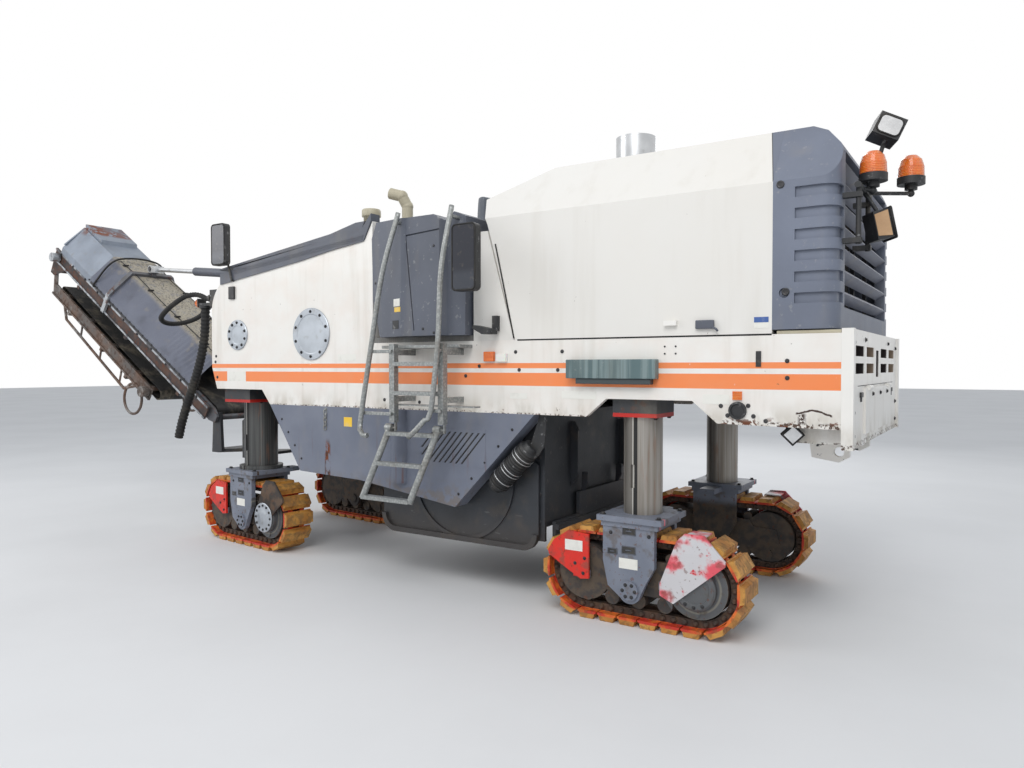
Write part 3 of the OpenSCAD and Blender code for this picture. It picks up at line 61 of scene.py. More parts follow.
# Station, side offset, sideways shift of the unit, parked angle and shift of the track, of each unit
UNITS = {
    "rear_left": (1.23, 0.82, 0.02, 0.0, -0.027),
    "rear_right": (1.23, -0.82, -0.02, 0.0, -0.027),
    "front_left": (5.125, 0.7, 0.02, math.radians(-6), 0.065),
    "front_right": (5.125, -0.7, -0.02, math.radians(-6), 0.065),
}

# Camera at the photograph's place
CAMERA_AT = (-0.765, 5.483, 1.655)
CAMERA_YAW = math.radians(57.14)
CAMERA_PITCH = math.radians(1.28)
SENSOR_MM = 36.0
FOCAL_PX = 770.0
FRAME_PX = 1024.0


def at(x, y, z):
    """A point given by its station from the rear face, side offset and height, in metres."""
    return Vector((x - ORIGIN_X, y, z))


def on_boom(u, y, v):
    """A point given along the boom from its tilting pivot, to the side, and square to the boom."""
    c, s = math.cos(BOOM_ANGLE), math.sin(BOOM_ANGLE)
    return at(LUFF[0] + u * c - v * s, y, LUFF[1] + u * s + v * c)


def on_unit(unit, u, w, z):
    """A point on a track unit: along it from the column, outward from the column, and up."""
    x, y, shift, angle, _ = UNITS[unit]
    c, s = math.cos(angle), math.sin(angle)
    w = w * math.copysign(1.0, y) + shift
    return at(x + u * c - w * s, y + u * s + w * c, z)


def placed(name, data):
    obj = bpy.data.objects.new(name, data)
    bpy.context.scene.collection.objects.link(obj)
    return obj


def make_camera():
    data = bpy.data.cameras.new("camera")
    data.sensor_width = SENSOR_MM
    data.lens = SENSOR_MM * FOCAL_PX / FRAME_PX
    data.clip_end = 200.0
    camera = placed("camera", data)
    aim = Vector((math.cos(CAMERA_PITCH) * math.cos(CAMERA_YAW),
                  -math.cos(CAMERA_PITCH) * math.sin(CAMERA_YAW), -math.sin(CAMERA_PITCH)))
    camera.location = at(*CAMERA_AT)
    camera.rotation_euler = aim.to_track_quat("-Z", "Y").to_euler()
    bpy.context.scene.camera = camera


# Shapes, each added to a bmesh
def circle(count, radius=1.0, first=0.0):
    """Points (cosine, sine) round a circle; first is where it starts, in steps."""
    return [(radius * math.cos(2 * math.pi * (k + first) / count),
             radius * math.sin(2 * math.pi * (k + first) / count)) for k in range(count)]


def skin(bm, rings, caps=True):
    """Faces between rings of vertices, with flat ends."""
    for a, b in zip(rings, rings[1:]):
        for k in range(len(a)):
            j = (k + 1) % len(a)
            bm.faces.new((a[k], a[j], b[j], b[k])).smooth = True
    if caps:
        bm.faces.new(list(reversed(rings[0])))
        bm.faces.new(rings[-1])


def tube(bm, points, radius, sides=10, caps=True):
    """A tube along the points; radius is one value or one for each point."""
    last = len(points) - 1
    radii = radius if isinstance(radius, list) else [radius] * len(points)
    rings = []
    up = None
    for i, p in enumerate(points):
        d = (points[min(i + 1, last)] - points[max(i - 1, 0)]).normalized()
        if up is None:
            up = d.orthogonal().normalized()
        up = (up - d * up.dot(d)).normalized()
        rings.append([bm.verts.new(p + radii[i] * (c * up + s * d.cross(up))) for c, s in circle(sides)])
    skin(bm, rings, caps)


def turned(bm, base, axis, profile, sides=24):
    """A body of revolution: profile is a list of (radius, distance along the axis)."""
    axis = Vector(axis).normalized()
    up = axis.orthogonal().normalized()
    side = axis.cross(up)
    skin(bm, [[bm.verts.new(base + axis * h + max(r, 1e-4) * (c * up + s * side)) for c, s in circle(sides)]
              for r, h in profile])


def bolt(bm, base, axis, r):
    """A hexagon head on its washer."""
    turned(bm, base, axis, [(r * 1.5, 0), (r * 1.5, r * 0.25), (r * 1.0, r * 0.26)], 12)
    top = base + Vector(axis).normalized() * r * 0.25
    turned(bm, top, axis, [(r, 0), (r, r * 0.64), (r * 0.8, r * 0.8)], 6)


def block(bm, low, high, bevel=0.003):
    """A box between two corners with bevelled edges."""
    low, high = Vector(low), Vector(high)
    made = bmesh.ops.create_cube(bm, size=1.0)
    size, mid = high - low, (high + low) / 2
    for v in made["verts"]:
        v.co = v.co * size + mid
    edges = list({e for v in made["verts"] for e in v.link_edges})
    bmesh.ops.bevel(bm, geom=edges, offset=bevel, segments=2, affect="EDGES", profile=0.5)


def side_block(bm, side, x0, x1, y0, y1, z0, z1, bevel=0.003):
    """A block on one side of the machine, with its y0 and y1 measured from the middle plane."""
    y0, y1 = sorted((side * y0, side * y1))
    block(bm, at(x0, y0, z0), at(x1, y1, z1), bevel)


def plate(bm, corners, thickness, direction):
    """A plate from the outline of its one face, thickened along direction."""
    step = Vector(direction).normalized() * thickness
    a = [bm.verts.new(p) for p in corners]
    b = [bm.verts.new(p + step) for p in corners]
    bm.faces.new(a)
    bm.faces.new(list(reversed(b)))
    for i in range(len(a)):
        j = (i + 1) % len(a)
        bm.faces.new((a[j], a[i], b[i], b[j]))


def side_plate(bm, side, y, thickness, *points):
    """An upright plate at a distance from the middle plane, thickened outward."""
    plate(bm, [at(x, side * y, z) for x, z in points], thickness, (0, side, 0))


def frame_of_tubes(bm, corners, radius, sides):
    for p, q in zip(corners, corners[1:] + corners[:1]):
        tube(bm, [p, q], radius, sides)


def rectangle(x0, x1, z0, z1):
    return (x0, z0), (x1, z0), (x1, z1), (x0, z1)


def rounded(half_x, half_z, r):
    """Points round a rectangle; the centres of its corners, of radius r, lie at half_x and half_z."""
    corners = ((1, 1, 0), (-1, 1, 90), (-1, -1, 180), (1, -1, 270))
    return [(half_x * cx + r * math.cos(math.radians(start + 15 * k)),
             half_z * cz + r * math.sin(math.radians(start + 15 * k)))
            for cx, cz, start in corners for k in range(7)]


def smooth_path(points, step):
    """Points along a Catmull-Rom curve through the given ones, about a step apart."""
    pts = [2 * points[0] - points[1]] + list(points) + [2 * points[-1] - points[-2]]
    out = []
    for i in range(1, len(pts) - 2):
        p0, p1, p2, p3 = pts[i - 1:i + 3]
        n = max(1, round((p2 - p1).length / step))
        for k in range(n):
            t = k / n
            out.append(0.5 * (2 * p1 + (p2 - p0) * t + (2 * p0 - 5 * p1 + 4 * p2 - p3) * t * t
                              + (3 * p1 - p0 - 3 * p2 + p3) * t ** 3))
    return out + [points[-1]]


def path_length(points):
    return sum((b - a).length for a, b in zip(points, points[1:]))


def to_mesh(name, bm):
    mesh = bpy.data.meshes.new(name)
    bm.to_mesh(mesh)
    bm.free()
    return mesh


def piece(name, bm, finish, body="chassis"):
    """Turns a bmesh into an object that rides on a body."""
    bmesh.ops.recalc_face_normals(bm, faces=bm.faces)
    mesh = to_mesh(name, bm)
    mesh.materials.append(M[finish])
    obj = placed(name, mesh)
    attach(obj, body)
    return obj


# Materials
def linear(colour, factor=1.0):
    """A colour as it shows on a screen, such as "ff8000", in Blender's linear values."""
    return tuple(factor * (((c / 255 + 0.055) / 1.055) ** 2.4 if c > 10 else c / 255 / 12.92)
                 for c in bytes.fromhex(colour)) + (1.0,)


# Every finish's material, by the finish's name
M = {}


class Value:
    """A node's output; each sign put to it makes a math node."""

    def __init__(self, finish, socket):
        self.finish, self.socket = finish, socket

    def __add__(self, other):
        return self.finish.math("ADD", self, other)

    def __sub__(self, other):
        return self.finish.math("SUBTRACT", self, other)

    def __rsub__(self, other):
        return self.finish.math("SUBTRACT", other, self)

    def __mul__(self, other):
        return self.finish.math("MULTIPLY", self, other)

    def __abs__(self):
        return self.finish.math("ABSOLUTE", self)


class Finish:
    """A node material that is built up in layers over a Principled surface."""

    def __init__(self, name, colour, rough, metal=0.0, coat=0.0, sheen=0.0):
        self.mat = M[name] = bpy.data.materials.new(name)
        self.mat.use_nodes = True
        self.tree = self.mat.node_tree
        self.tree.nodes.clear()
        self.skin = self.add("BsdfPrincipled", {"Coat Weight": coat, "Sheen Weight": sheen})
        self.tree.links.new(self.skin.outputs[0], self.add("OutputMaterial").inputs[0])
        self.where = self.value("Object", "TexCoord")
        x, self.y, self.z = (self.value(i, "SeparateXYZ", {0: self.where}) for i in range(3))
        # Station from the rear face, and distance from the middle plane
        self.x, self.off = x + ORIGIN_X, abs(self.y)
        self.colour, self.rough, self.metal = colour, rough, metal
        self.normal = None

    def add(self, kind, inputs=None, **props):
        node = self.tree.nodes.new("ShaderNode" + kind)
        for key, value in props.items():
            setattr(node, key, value)
        for key, value in (inputs or {}).items():
            self.put(node.inputs[key], value)
        return node

    def put(self, socket, value):
        if isinstance(value, Value):
            self.tree.links.new(value.socket, socket)
        else:
            socket.default_value = linear(value) if isinstance(value, str) else value

    def value(self, output, kind, inputs=None, **props):
        """An output of a new node."""
        return Value(self, self.add(kind, inputs, **props).outputs[output])

    def math(self, op, a, b=0.0, clamp=False):
        return self.value(0, "Math", {0: a, 1: b}, operation=op, use_clamp=clamp)

    def most(self, a, b):
        return self.math("MAXIMUM", a, b)

    def length(self, a, b):
        return self.math("SQRT", a * a + b * b)

    def ramp(self, value, low, high):
        """0 below low, 1 above high and smooth between; the other way round when low is above high."""
        return self.value(0, "MapRange", {0: value, 1: low, 2: high}, interpolation_type="SMOOTHSTEP")

    def band(self, value, low, high, soft=0.0008):
        return self.ramp(value, low - soft, low + soft) * self.ramp(value, high + soft, high - soft)

    def stretched(self, scale):
        return self.value(0, "VectorMath", {0: self.where, 1: scale}, operation="MULTIPLY")

    def noise(self, scale, detail=4.0, stretch=(1, 1, 1)):
        return self.value("Fac", "TexNoise", {"Vector": self.stretched(stretch), "Scale": scale,
                                              "Detail": detail, "Roughness": 0.55})

    def grain(self, scale, detail, low, high, stretch=(1, 1, 1)):
        return self.ramp(self.noise(scale, detail, stretch), low, high)

    def cells(self, scale):
        return self.value("Distance", "TexVoronoi", {"Vector": self.where, "Scale": scale})

    def waves(self, scale, direction):
        return self.value("Fac", "TexWave", {"Vector": self.where, "Scale": scale}, wave_type="BANDS",
                          bands_direction=direction)

    def mix(self, mask, a, b):
        return self.value(2, "Mix", {0: mask, 6: a, 7: b}, data_type="RGBA")

    def blend(self, mask, a, b):
        return self.value(0, "Mix", {0: mask, 2: a, 3: b}, data_type="FLOAT")

    def layer(self, mask, colour, rough=None, metal=None):
        self.colour = self.mix(mask, self.colour, colour)
        if rough is not None:
            self.rough = self.blend(mask, self.rough, rough)
        if metal is not None:
            self.metal = self.blend(mask, self.metal, metal)
        return self

    def mottle(self, scale, colour, amount, low=0.35, high=0.7, stretch=(1, 1, 1), detail=5.0, rough=None,
               metal=None):
        """Mixes in a second colour by a noise."""
        return self.layer(self.grain(scale, detail, low, high, stretch) * amount, colour, rough, metal)

    def bump(self, height, depth, strength):
        inputs = {"Height": height, "Distance": depth, "Strength": strength}
        if self.normal is not None:
            inputs["Normal"] = self.normal
        self.normal = self.value(0, "Bump", inputs)
        return self

    def grit(self, scale, detail, depth, strength, stretch=(1, 1, 1)):
        return self.bump(self.noise(scale, detail, stretch), depth, strength)

    def done(self):
        # A fine noise keeps the gloss from being even
        fine = self.blend(self.noise(9.0, 3.0), -0.07, 0.07)
        for key, value in (("Base Color", self.colour), ("Metallic", self.metal), ("Normal", self.normal),
                           ("Roughness", self.math("ADD", fine, self.rough, clamp=True))):
            if value is not None:
                self.put(self.skin.inputs[key], value)


WHITE = "eeebe5"
ORANGE = "f48a4e"
GREY = "696f7d"
DARK = "303236"
BLACK_PLASTIC = "242527"
SHADOW = "342c2c"
RUST = "683a22"
DIRT = "5c5042"
DUST = "9e927c"


def white_paint(name, low_edge=None, stripes=False, colour=WHITE, film=0.35, worn_x=None):
    """Body paint; worn_x is the station behind which its lower edge is chipped."""
    f = Finish(name, colour, 0.38, coat=0.15)
    f.mottle(0.9, "e2ddd4", 0.5)
    # Rain streaks and a dusty film
    f.mottle(3.0, "c4bcae", film, 0.52, 0.75, (2.5, 2.5, 0.22))
    if stripes:
        side = f.ramp(f.off, SIDE_Y - 0.012, SIDE_Y - 0.008) * f.ramp(f.x, 0.0004, 0.0016)
        # The broad stripe is left out behind a plate near the nose
        broad = f.band(f.z, 1.525, 1.614) * (1.0 - f.band(f.x, 4.945, 5.205))
        narrow = f.band(f.z, 1.645, 1.681)
        f.layer(side * f.most(broad, narrow) * f.grain(26.0, 6.0, 0.24, 0.28), ORANGE, 0.42)
        f.mottle(5.0, "d6a88a", 0.1)
    if low_edge is not None:
        grime = f.ramp(f.z, low_edge + 0.16, low_edge - 0.02) * f.grain(6.0, 6.0, 0.42, 0.62, (1, 1, 0.5))
        f.layer(grime * 0.5, DUST, 0.6)
        grain = f.noise(22.0, 7.0)
        if worn_x is not None:
            grain = grain + (f.ramp(f.x, worn_x + 0.25, worn_x) - 1.0) * 0.1
        f.layer(f.ramp(f.z, low_edge + 0.05, low_edge) * f.ramp(grain, 0.53, 0.57), RUST, 0.8)
        f.layer(f.ramp(f.z, low_edge + 0.016, low_edge + 0.002) * f.grain(60.0, 3.0, 0.5, 0.6),
                "544238", 0.8)
    f.mottle(34.0, "604e3e", 0.6, 0.765, 0.785, detail=2.0, rough=0.7)
    return f.grit(260.0, 2.0, 0.0004, 0.35).grit(1.3, 2.0, 0.006, 0.35)


def moulded_plastic(name, colour):
    f = Finish(name, colour, 0.52)
    f.mottle(1.6, linear(colour, 1.5), 0.5)
    f.mottle(4.0, DUST, 0.2, 0.5, 0.8, (1.5, 1.5, 0.3))
    f.mottle(30.0, "969696", 0.45, 0.62, 0.7, rough=0.6)
    return f.grit(420.0, 2.0, 0.0006, 0.6)


def dusty_paint(name, colour, dust=0.4, rust=0.25, rough=0.5):
    f = Finish(name, colour, rough)
    f.mottle(2.2, linear(colour, 0.7), 0.7)
    f.mottle(3.5, DUST, dust, 0.48, 0.8, (1, 1, 0.5))
    f.mottle(14.0, RUST, rust, 0.58, 0.66, detail=7.0, rough=0.85)
    f.mottle(40.0, "969490", 0.25, 0.7, 0.74, detail=4.0, rough=0.45)
    return f.grit(60.0, 5.0, 0.0012, 0.5)


def make_skirt():
    """Grey side skirt: a lighter dust film, rust streaks from the bolts and a scraped lower edge."""
    f = Finish("skirt", "656b7a", 0.48)
    f.mottle(1.4, "7a7f8c", 0.8)
    f.mottle(5.0, DUST, 0.3, 0.5, 0.8, (1, 1, 0.35))
    f.layer(f.grain(11.0, 5.0, 0.6, 0.68, (1.0, 1.0, 0.08)) * f.ramp(f.z, 1.25, 0.8) * 0.55, RUST, 0.8)
    # Rust that runs down below the chain
    run = f.band(f.x, 3.895, 3.955, 0.012) * f.ramp(f.z, 1.08, 1.0)
    f.layer(run * f.grain(26.0, 6.0, 0.44, 0.52, (1.0, 1.0, 0.4)), f.mix(
        f.grain(30.0, 4.0, 0.4, 0.6), "703a22", "3c2c26"), 0.85)
    f.layer(f.ramp(f.z, 0.86, 0.66) * f.grain(16.0, 6.0, 0.45, 0.58) * 0.6, "74685c", 0.8)
    f.grit(90.0, 4.0, 0.0008, 0.4).grit(1.8, 2.0, 0.01, 0.5).done()


def make_housing():
    f = Finish("housing", "26292e", 0.5)
    f.mottle(1.8, "383c42", 0.6)
    f.mottle(6.0, DIRT, 0.3, 0.5, 0.75)
    f.layer(f.ramp(f.z, 0.62, 0.38) * 0.35, "50463c", 0.85)
    f.mottle(24.0, "787876", 0.25, 0.68, 0.72, (0.3, 1.0, 1.0), 2.0, 0.5, 0.3)
    f.grit(50.0, 6.0, 0.002, 0.6).done()


def make_galvanised():
    f = Finish("galvanised", "a8aaa8", 0.46, metal=0.55)
    f.layer(f.ramp(f.cells(55.0), 0.1, 0.7), "8c8f8e")
    f.mottle(7.0, "787064", 0.5, 0.5, 0.75)
    f.grit(120.0, 4.0, 0.0006, 0.5).done()


def make_aluminium(name, colour, rough, metal=0.75, rusty_above=None):
    f = Finish(name, colour, rough, metal=metal)
    if rusty_above is not None:
        lip = f.ramp(f.off, 0.3, 0.26) * f.ramp(f.z, rusty_above, rusty_above + 0.04)
        f.layer(lip * f.grain(11.0, 6.0, 0.42, 0.52), "7e4a34", 0.85, 0.0)
    f.mottle(4.0, linear(colour, 0.72), 0.7)
    f.mottle(18.0, "807a70", 0.35, 0.55, 0.75)
    f.grit(150.0, 3.0, 0.0003, 0.4).done()


def make_column(unit):
    """Lifting column: scuffed steel, polished at the rear and dark at the front, with painted light and
    shade round its keyway.
    """
    bright = unit.startswith("rear")
    base, marks, scuffs, edge = (("9e9992", "7a7064", "bab7b0", "74706a") if bright
                                 else ("545554", "363636", "70706c", "3c3c3c"))
    f = Finish("column_" + unit, base, 0.4, metal=0.5 if bright else 0.25)
    f.mottle(7.0, marks, 0.7, 0.4, 0.65, (5, 5, 0.12))
    f.mottle(16.0, scuffs, 0.6, 0.5, 0.7, (6, 6, 0.06))
    f.mottle(9.0, "8c5c40", 0.45, 0.55, 0.72, (3, 3, 0.3))
    x, y, *_ = UNITS[unit]
    out = f.ramp(f.y * math.copysign(1.0, y), abs(y) + 0.08, abs(y) + 0.1)
    dx = f.x - x
    # Painted light round the keyway: the outward flank ahead of it darker as painted shade, the keyway a
    # near-black band of painted shade, and a pale band on its front lip as a painted highlight
    f.layer(out * f.ramp(dx, 0.015, 0.02), edge)
    f.layer(out * f.band(dx, -0.013, 0.013, 0.001), "161616", 0.7, 0.0)
    f.layer(out * f.band(dx, 0.017, 0.022, 0.001), "c8c6be", 0.35, 0.6)
    f.grit(40.0, 3.0, 0.0006, 0.4, (6, 6, 0.1)).done()


def make_rubber(name, colour, dust=0.35):
    f = Finish(name, colour, 0.72)
    f.mottle(5.0, DUST, dust, 0.45, 0.75)
    f.mottle(24.0, "101010", 0.6, 0.5, 0.6)
    f.grit(90.0, 5.0, 0.0012, 0.5).done()


def make_canvas():
    """Coated canvas: a fine weave, blue-grey slopes and dry mud along the ridge."""
    f = Finish("canvas", "5a5e6c", 0.66, sheen=0.25)
    f.mottle(1.5, "6c707e", 0.7)
    f.mottle(3.2, "3e404a", 0.7, 0.5, 0.75)
    ridge = f.ramp(f.off, 0.275, 0.235)
    f.layer(ridge * f.grain(16.0, 7.0, 0.28, 0.5), "aaa08c", 0.9)
    f.layer(ridge * f.grain(44.0, 5.0, 0.52, 0.6), "6c665e", 0.9)
    f.layer(f.ramp(f.off, 0.42, 0.25) * f.grain(9.0, 7.0, 0.55, 0.68) * 0.55, "968c7c", 0.9)
    f.bump(f.waves(190.0, "Y") + f.waves(190.0, "DIAGONAL"), 0.0005, 0.5)
    f.grit(22.0, 5.0, 0.004, 0.5).done()


def unit_axes(f, unit):
    """Distances along a unit and outward from its column, as values."""
    x, y, shift, angle, _ = UNITS[unit]
    c, s = math.cos(angle), math.sin(angle)
    dx, dy = f.x - x, f.y - y
    return dx * c + dy * s, (dy * c - dx * s - shift) * math.copysign(1.0, y)


def make_track(unit):
    """Yellow pads on red shoes over a dark chain, told apart by their distance from the loop."""
    f = Finish("track_" + unit, "3e342e", 0.7)
    # Distance from the line between the centres of the track's two end circles
    u, _ = unit_axes(f, unit)
    rho = f.length(f.most(abs(u - UNITS[unit][4]) - RUN_LEN / 2, 0.0), f.z - END_R)
    f.mottle(12.0, "604634", 0.8)
    red = f.mix(f.grain(10.0, 5.0, 0.42, 0.6), "c43624", "de702a")
    f.layer(f.ramp(rho, PATH_R - 0.006, PATH_R - 0.002), red, 0.5)
    yellow = f.mix(f.grain(5.0, 6.0, 0.38, 0.62), "ce984a", "b07634")
    f.layer(f.ramp(rho, PATH_R + 0.016, PATH_R + 0.02), yellow, 0.58)
    f.mottle(28.0, "604830", 0.45, 0.52, 0.62, detail=7.0, rough=0.85)
    worn = f.ramp(rho, END_R - 0.006, END_R + 0.001) * f.grain(18.0, 6.0, 0.4, 0.6)
    f.layer(worn * 0.6, "786042", 0.8)
    f.grit(45.0, 6.0, 0.003, 0.6).done()


def make_undercarriage(unit):
    """Grey yoke, dark track frame, light hub and coloured guards."""
    f = Finish("undercarriage_" + unit, "707683", 0.5)
    u, w = unit_axes(f, unit)
    f.mottle(3.0, "888d99", 0.6)
    f.layer(f.ramp(w, 0.15, 0.13) * f.ramp(f.z, 0.6, 0.52),
            f.mix(f.grain(14.0, 6.0, 0.4, 0.6), "3c3836", "564a3e"), 0.75)
    from_hub = f.length(u - (UNITS[unit][4] - RUN_LEN / 2), f.z - END_R)
    # Wheel behind the guard, with two turned rings
    wheel = f.ramp(from_hub, 0.222, 0.218) * f.ramp(w, 0.1, 0.104) * f.ramp(u, -0.15, -0.16)
    f.layer(wheel, "5c5e60", 0.5, 0.2)
    rings = f.most(f.band(from_hub, 0.146, 0.158, 0.004), f.band(from_hub, 0.194, 0.203, 0.004))
    f.layer(wheel * rings * 0.7, "928e82", 0.5, 0.3)
    guard = f.ramp(w, 0.1495, 0.151) * f.ramp(w, 0.169, 0.1685)
    off_hub = f.most(f.ramp(from_hub, 0.133, 0.134), f.ramp(w, 0.1608, 0.1612))
    rear = guard * f.ramp(u, -0.185, -0.195) * off_hub
    red = f.mix(f.grain(7.0, 6.0, 0.52, 0.66), "da2a1c", "b0382c")
    f.layer(guard * f.ramp(u, 0.255, 0.265), red, 0.45)
    if unit.startswith("rear"):
        rear = f.most(rear, f.band(f.z, 0.6115, 0.66) * f.ramp(u, -0.24, -0.25))
        pale = f.mix(f.grain(5.0, 5.0, 0.47, 0.58), "ceccce", "e25c68")
        f.layer(rear, f.mix(f.grain(11.0, 4.0, 0.6, 0.66), pale, "ce2834"), 0.6)
    else:
        f.layer(rear, f.mix(f.grain(9.0, 6.0, 0.45, 0.6), "3a3430", "5c4a3c"), 0.8)
    f.mottle(10.0, DIRT, 0.55, 0.55, 0.68, detail=7.0, rough=0.85)
    f.mottle(36.0, RUST, 0.5, 0.62, 0.67, detail=4.0, rough=0.85)
    f.grit(50.0, 6.0, 0.002, 0.5).done()


def make_boom_paint():
    """Grey rails with bright rubbed edges and rust in their webs."""
    f = Finish("boom", "606268", 0.5)
    f.mottle(5.0, "423e3c", 0.8)
    f.layer(f.ramp(f.off, 0.405, 0.412) * f.ramp(f.off, 0.42, 0.417) * 0.85,
            f.mix(f.grain(9.0, 6.0, 0.4, 0.6), "543a2c", "342c2a"), 0.85)
    f.layer(f.ramp(f.off, 0.424, 0.427) * f.grain(7.0, 5.0, 0.42, 0.55), "b0b4b8", 0.4, 0.5)
    f.mottle(18.0, RUST, 0.6, 0.55, 0.65, detail=7.0, rough=0.85)
    f.grit(60.0, 6.0, 0.002, 0.6).done()


def make_fold_paint():
    f = Finish("fold", "5c5652", 0.6)
    f.mottle(4.0, "684c3a", 0.9)
    f.mottle(9.0, "a8a6a2", 0.5, 0.52, 0.7)
    f.mottle(22.0, "463226", 0.7, 0.5, 0.62, detail=7.0, rough=0.9)
    f.grit(55.0, 6.0, 0.002, 0.7).done()


def make_drum():
    """Rusty drum with tips worn bright."""
    f = Finish("drum", "564234", 0.72, metal=0.3)
    f.mottle(6.0, "3a322e", 0.8)
    f.mottle(14.0, "7e5234", 0.6, 0.5, 0.7)
    f.layer(f.ramp(f.length(f.x - DRUM[0], f.z - DRUM[1]), 0.44, 0.456), "969490", 0.35, 0.9)
    f.grit(40.0, 6.0, 0.003, 0.8).done()


def make_lens(name="lens", white_at=None):
    """Amber lens with moulded ribs, each with a painted highlight; between two stations it is a
    body-coloured block instead.
    """
    f = Finish(name, "ec701e", 0.18, coat=0.6)
    f.mottle(20.0, "ce4c0e", 0.6)
    ribs = f.waves(34.0, "Z")
    # Lighter band on each rib: a painted highlight
    f.layer(f.ramp(ribs, 0.2, 0.8) * 0.35, "fa9e46")
    if white_at is not None:
        f.layer(f.band(f.x, *white_at), WHITE, 0.4)
    f.skin.inputs["Subsurface Weight"].default_value = 0.25
    f.bump(ribs, 0.003, 0.6).done()


def make_floor_plate():
    """Tread plate with raised lozenges."""
    f = Finish("tread", "787a7a", 0.42, metal=0.6)
    x = f.x - ORIGIN_X
    a, b = (f.math("SINE", way * 150.0) for way in (x + f.y, x - f.y))
    f.mottle(3.0, DIRT, 0.5)
    f.bump(f.ramp(a * b, 0.35, 0.6), 0.003, 0.8).done()


def make_vinyl():
    f = Finish("vinyl", "585e68", 0.55, coat=0.1)
    f.mottle(3.0, "70767e", 0.5)
    f.mottle(8.0, DUST, 0.2, 0.5, 0.8)
    f.bump(f.cells(220.0), 0.0006, 0.5).done()


def make_mirror_glass():
    f = Finish("mirror", "2c2e36", 0.16, metal=0.2)
    # Lighter on the lower part of each mirror: a painted reflection
    low = f.most(f.ramp(f.z, 2.32, 2.26), f.ramp(f.x, 4.785, 4.885) * f.ramp(f.z, 2.7, 2.64))
    f.layer(low * 0.7, "42464e")
    f.mottle(30.0, DUST, 0.15, 0.55, 0.8)
    f.grit(4.0, 2.0, 0.0008, 0.2).done()


def make_reflector(name, colour, dull, metal):
    f = Finish(name, colour, 0.22, metal=metal)
    f.mottle(8.0, dull, 0.4)
    f.bump(f.cells(60.0), 0.001, 0.5).done()


def make_label(name, colour):
    """A bare sticker, a little faded and lifted."""
    f = Finish(name, colour, 0.4)
    f.mottle(14.0, "c8c4ba", 0.4, 0.5, 0.75)
    f.grit(60.0, 2.0, 0.0004, 0.4).done()


def make_fittings():
    """Black fittings along the sill, with a white catch."""
    f = moulded_plastic("fittings", BLACK_PLASTIC)
    catch = f.ramp(f.off, SIDE_Y - 0.001, SIDE_Y) * f.band(f.x, 0.92, 1.02) * f.band(f.z, 1.9, 1.94)
    f.layer(catch, WHITE, 0.4).done()


def make_lamp_case():
    """Chalky grey-green plastic of the sill's lamp box, darker on its step."""
    f = moulded_plastic("lamp_case", "54686a")
    f.layer(f.grain(6.0, 5.0, 0.42, 0.62, (5, 1, 0.15)), "7c8c8c", 0.6)
    f.layer(f.ramp(f.z, 1.582, 1.578), "3e4648").done()


def slot_colours(f):
    """Colour behind the rear openings: painted shadow in some, and pale ribs with painted shade between them
    in the others.
    """
    pale = f.most(f.band(f.y, 0.12, 0.5, 0.01), f.ramp(f.y, -0.49, -0.51))
    # Pale and darker bands in turn: the ribs' lit faces and painted shade between them
    ribs = f.ramp(f.math("SINE", f.y * 150.0), -0.5, 0.3)
    return f.mix(pale, SHADOW, f.mix(ribs, "968676", "cec0ae"))


def make_rear_white():
    """Rear panel, with shadow and pale ribs on the walls inside its openings."""
    f = white_paint("rear_white", low_edge=1.22, worn_x=-1.0)
    inside = f.ramp(f.x, -0.0425, -0.038) * f.band(f.z, 1.585, 1.785) * f.ramp(f.off, 0.87, 0.85)
    f.layer(inside, slot_colours(f), 0.8).done()


def make_frame():
    """Frame paint; the towing eyes below the rear panel are white."""
    f = dusty_paint("frame_dark", "34363a", 0.35, 0.3)
    eyes = f.ramp(f.x, 0.36, 0.34) * f.ramp(f.z, 1.3, 1.28)
    f.layer(eyes * f.grain(20.0, 6.0, 0.66, 0.6), WHITE, 0.5).done()


def make_hood_white():
    """Hood paint; the surround's grey reaches over it along a joint that leans forward above the crease."""
    f = white_paint("hood_white", colour="e5e2dc", film=0.16)
    edge = f.x - ((f.z - CREASE_Z) * (SURROUND_LEAN / (ROOF_Z - CREASE_Z)) + SURROUND_X)
    above = f.ramp(f.z, CREASE_Z, CREASE_Z + 0.002)
    f.layer(above * f.ramp(edge, 0.0006, -0.0006), GREY, 0.52)
    f.layer(above * f.band(edge, -0.003, 0.002), DARK).done()


def make_blades():
    """Grille blades, paler on their faces and darker toward the core as painted shade deep in the grille."""
    f = Finish("blades", "747784", 0.5)
    f.mottle(1.6, "868994", 0.6)
    # Darker toward the core: painted shade deep between the blades
    f.layer(f.ramp(f.x, 0.075, 0.105), "222326", 0.7)
    f.mottle(8.0, DUST, 0.3, 0.5, 0.75)
    f.grit(300.0, 2.0, 0.0004, 0.5).done()


def make_recess():
    """What shows through the rear slots: shadow with paler ribs."""
    f = Finish("recess", SHADOW, 0.8)
    f.colour = slot_colours(f)
    f.mottle(20.0, DIRT, 0.3)
    f.grit(60.0, 4.0, 0.001, 0.5).done()


def make_radiator():
    """Fine upright fins on the core and a plain dark engine behind."""
    f = Finish("radiator", "161618", 0.6)
    fins = f.math("SINE", f.y * 900.0)
    f.layer(f.ramp(fins, 0.0, 0.9), "2c2c2e")
    f.mottle(6.0, DIRT, 0.35)
    f.bump(fins, 0.002, 0.6).done()


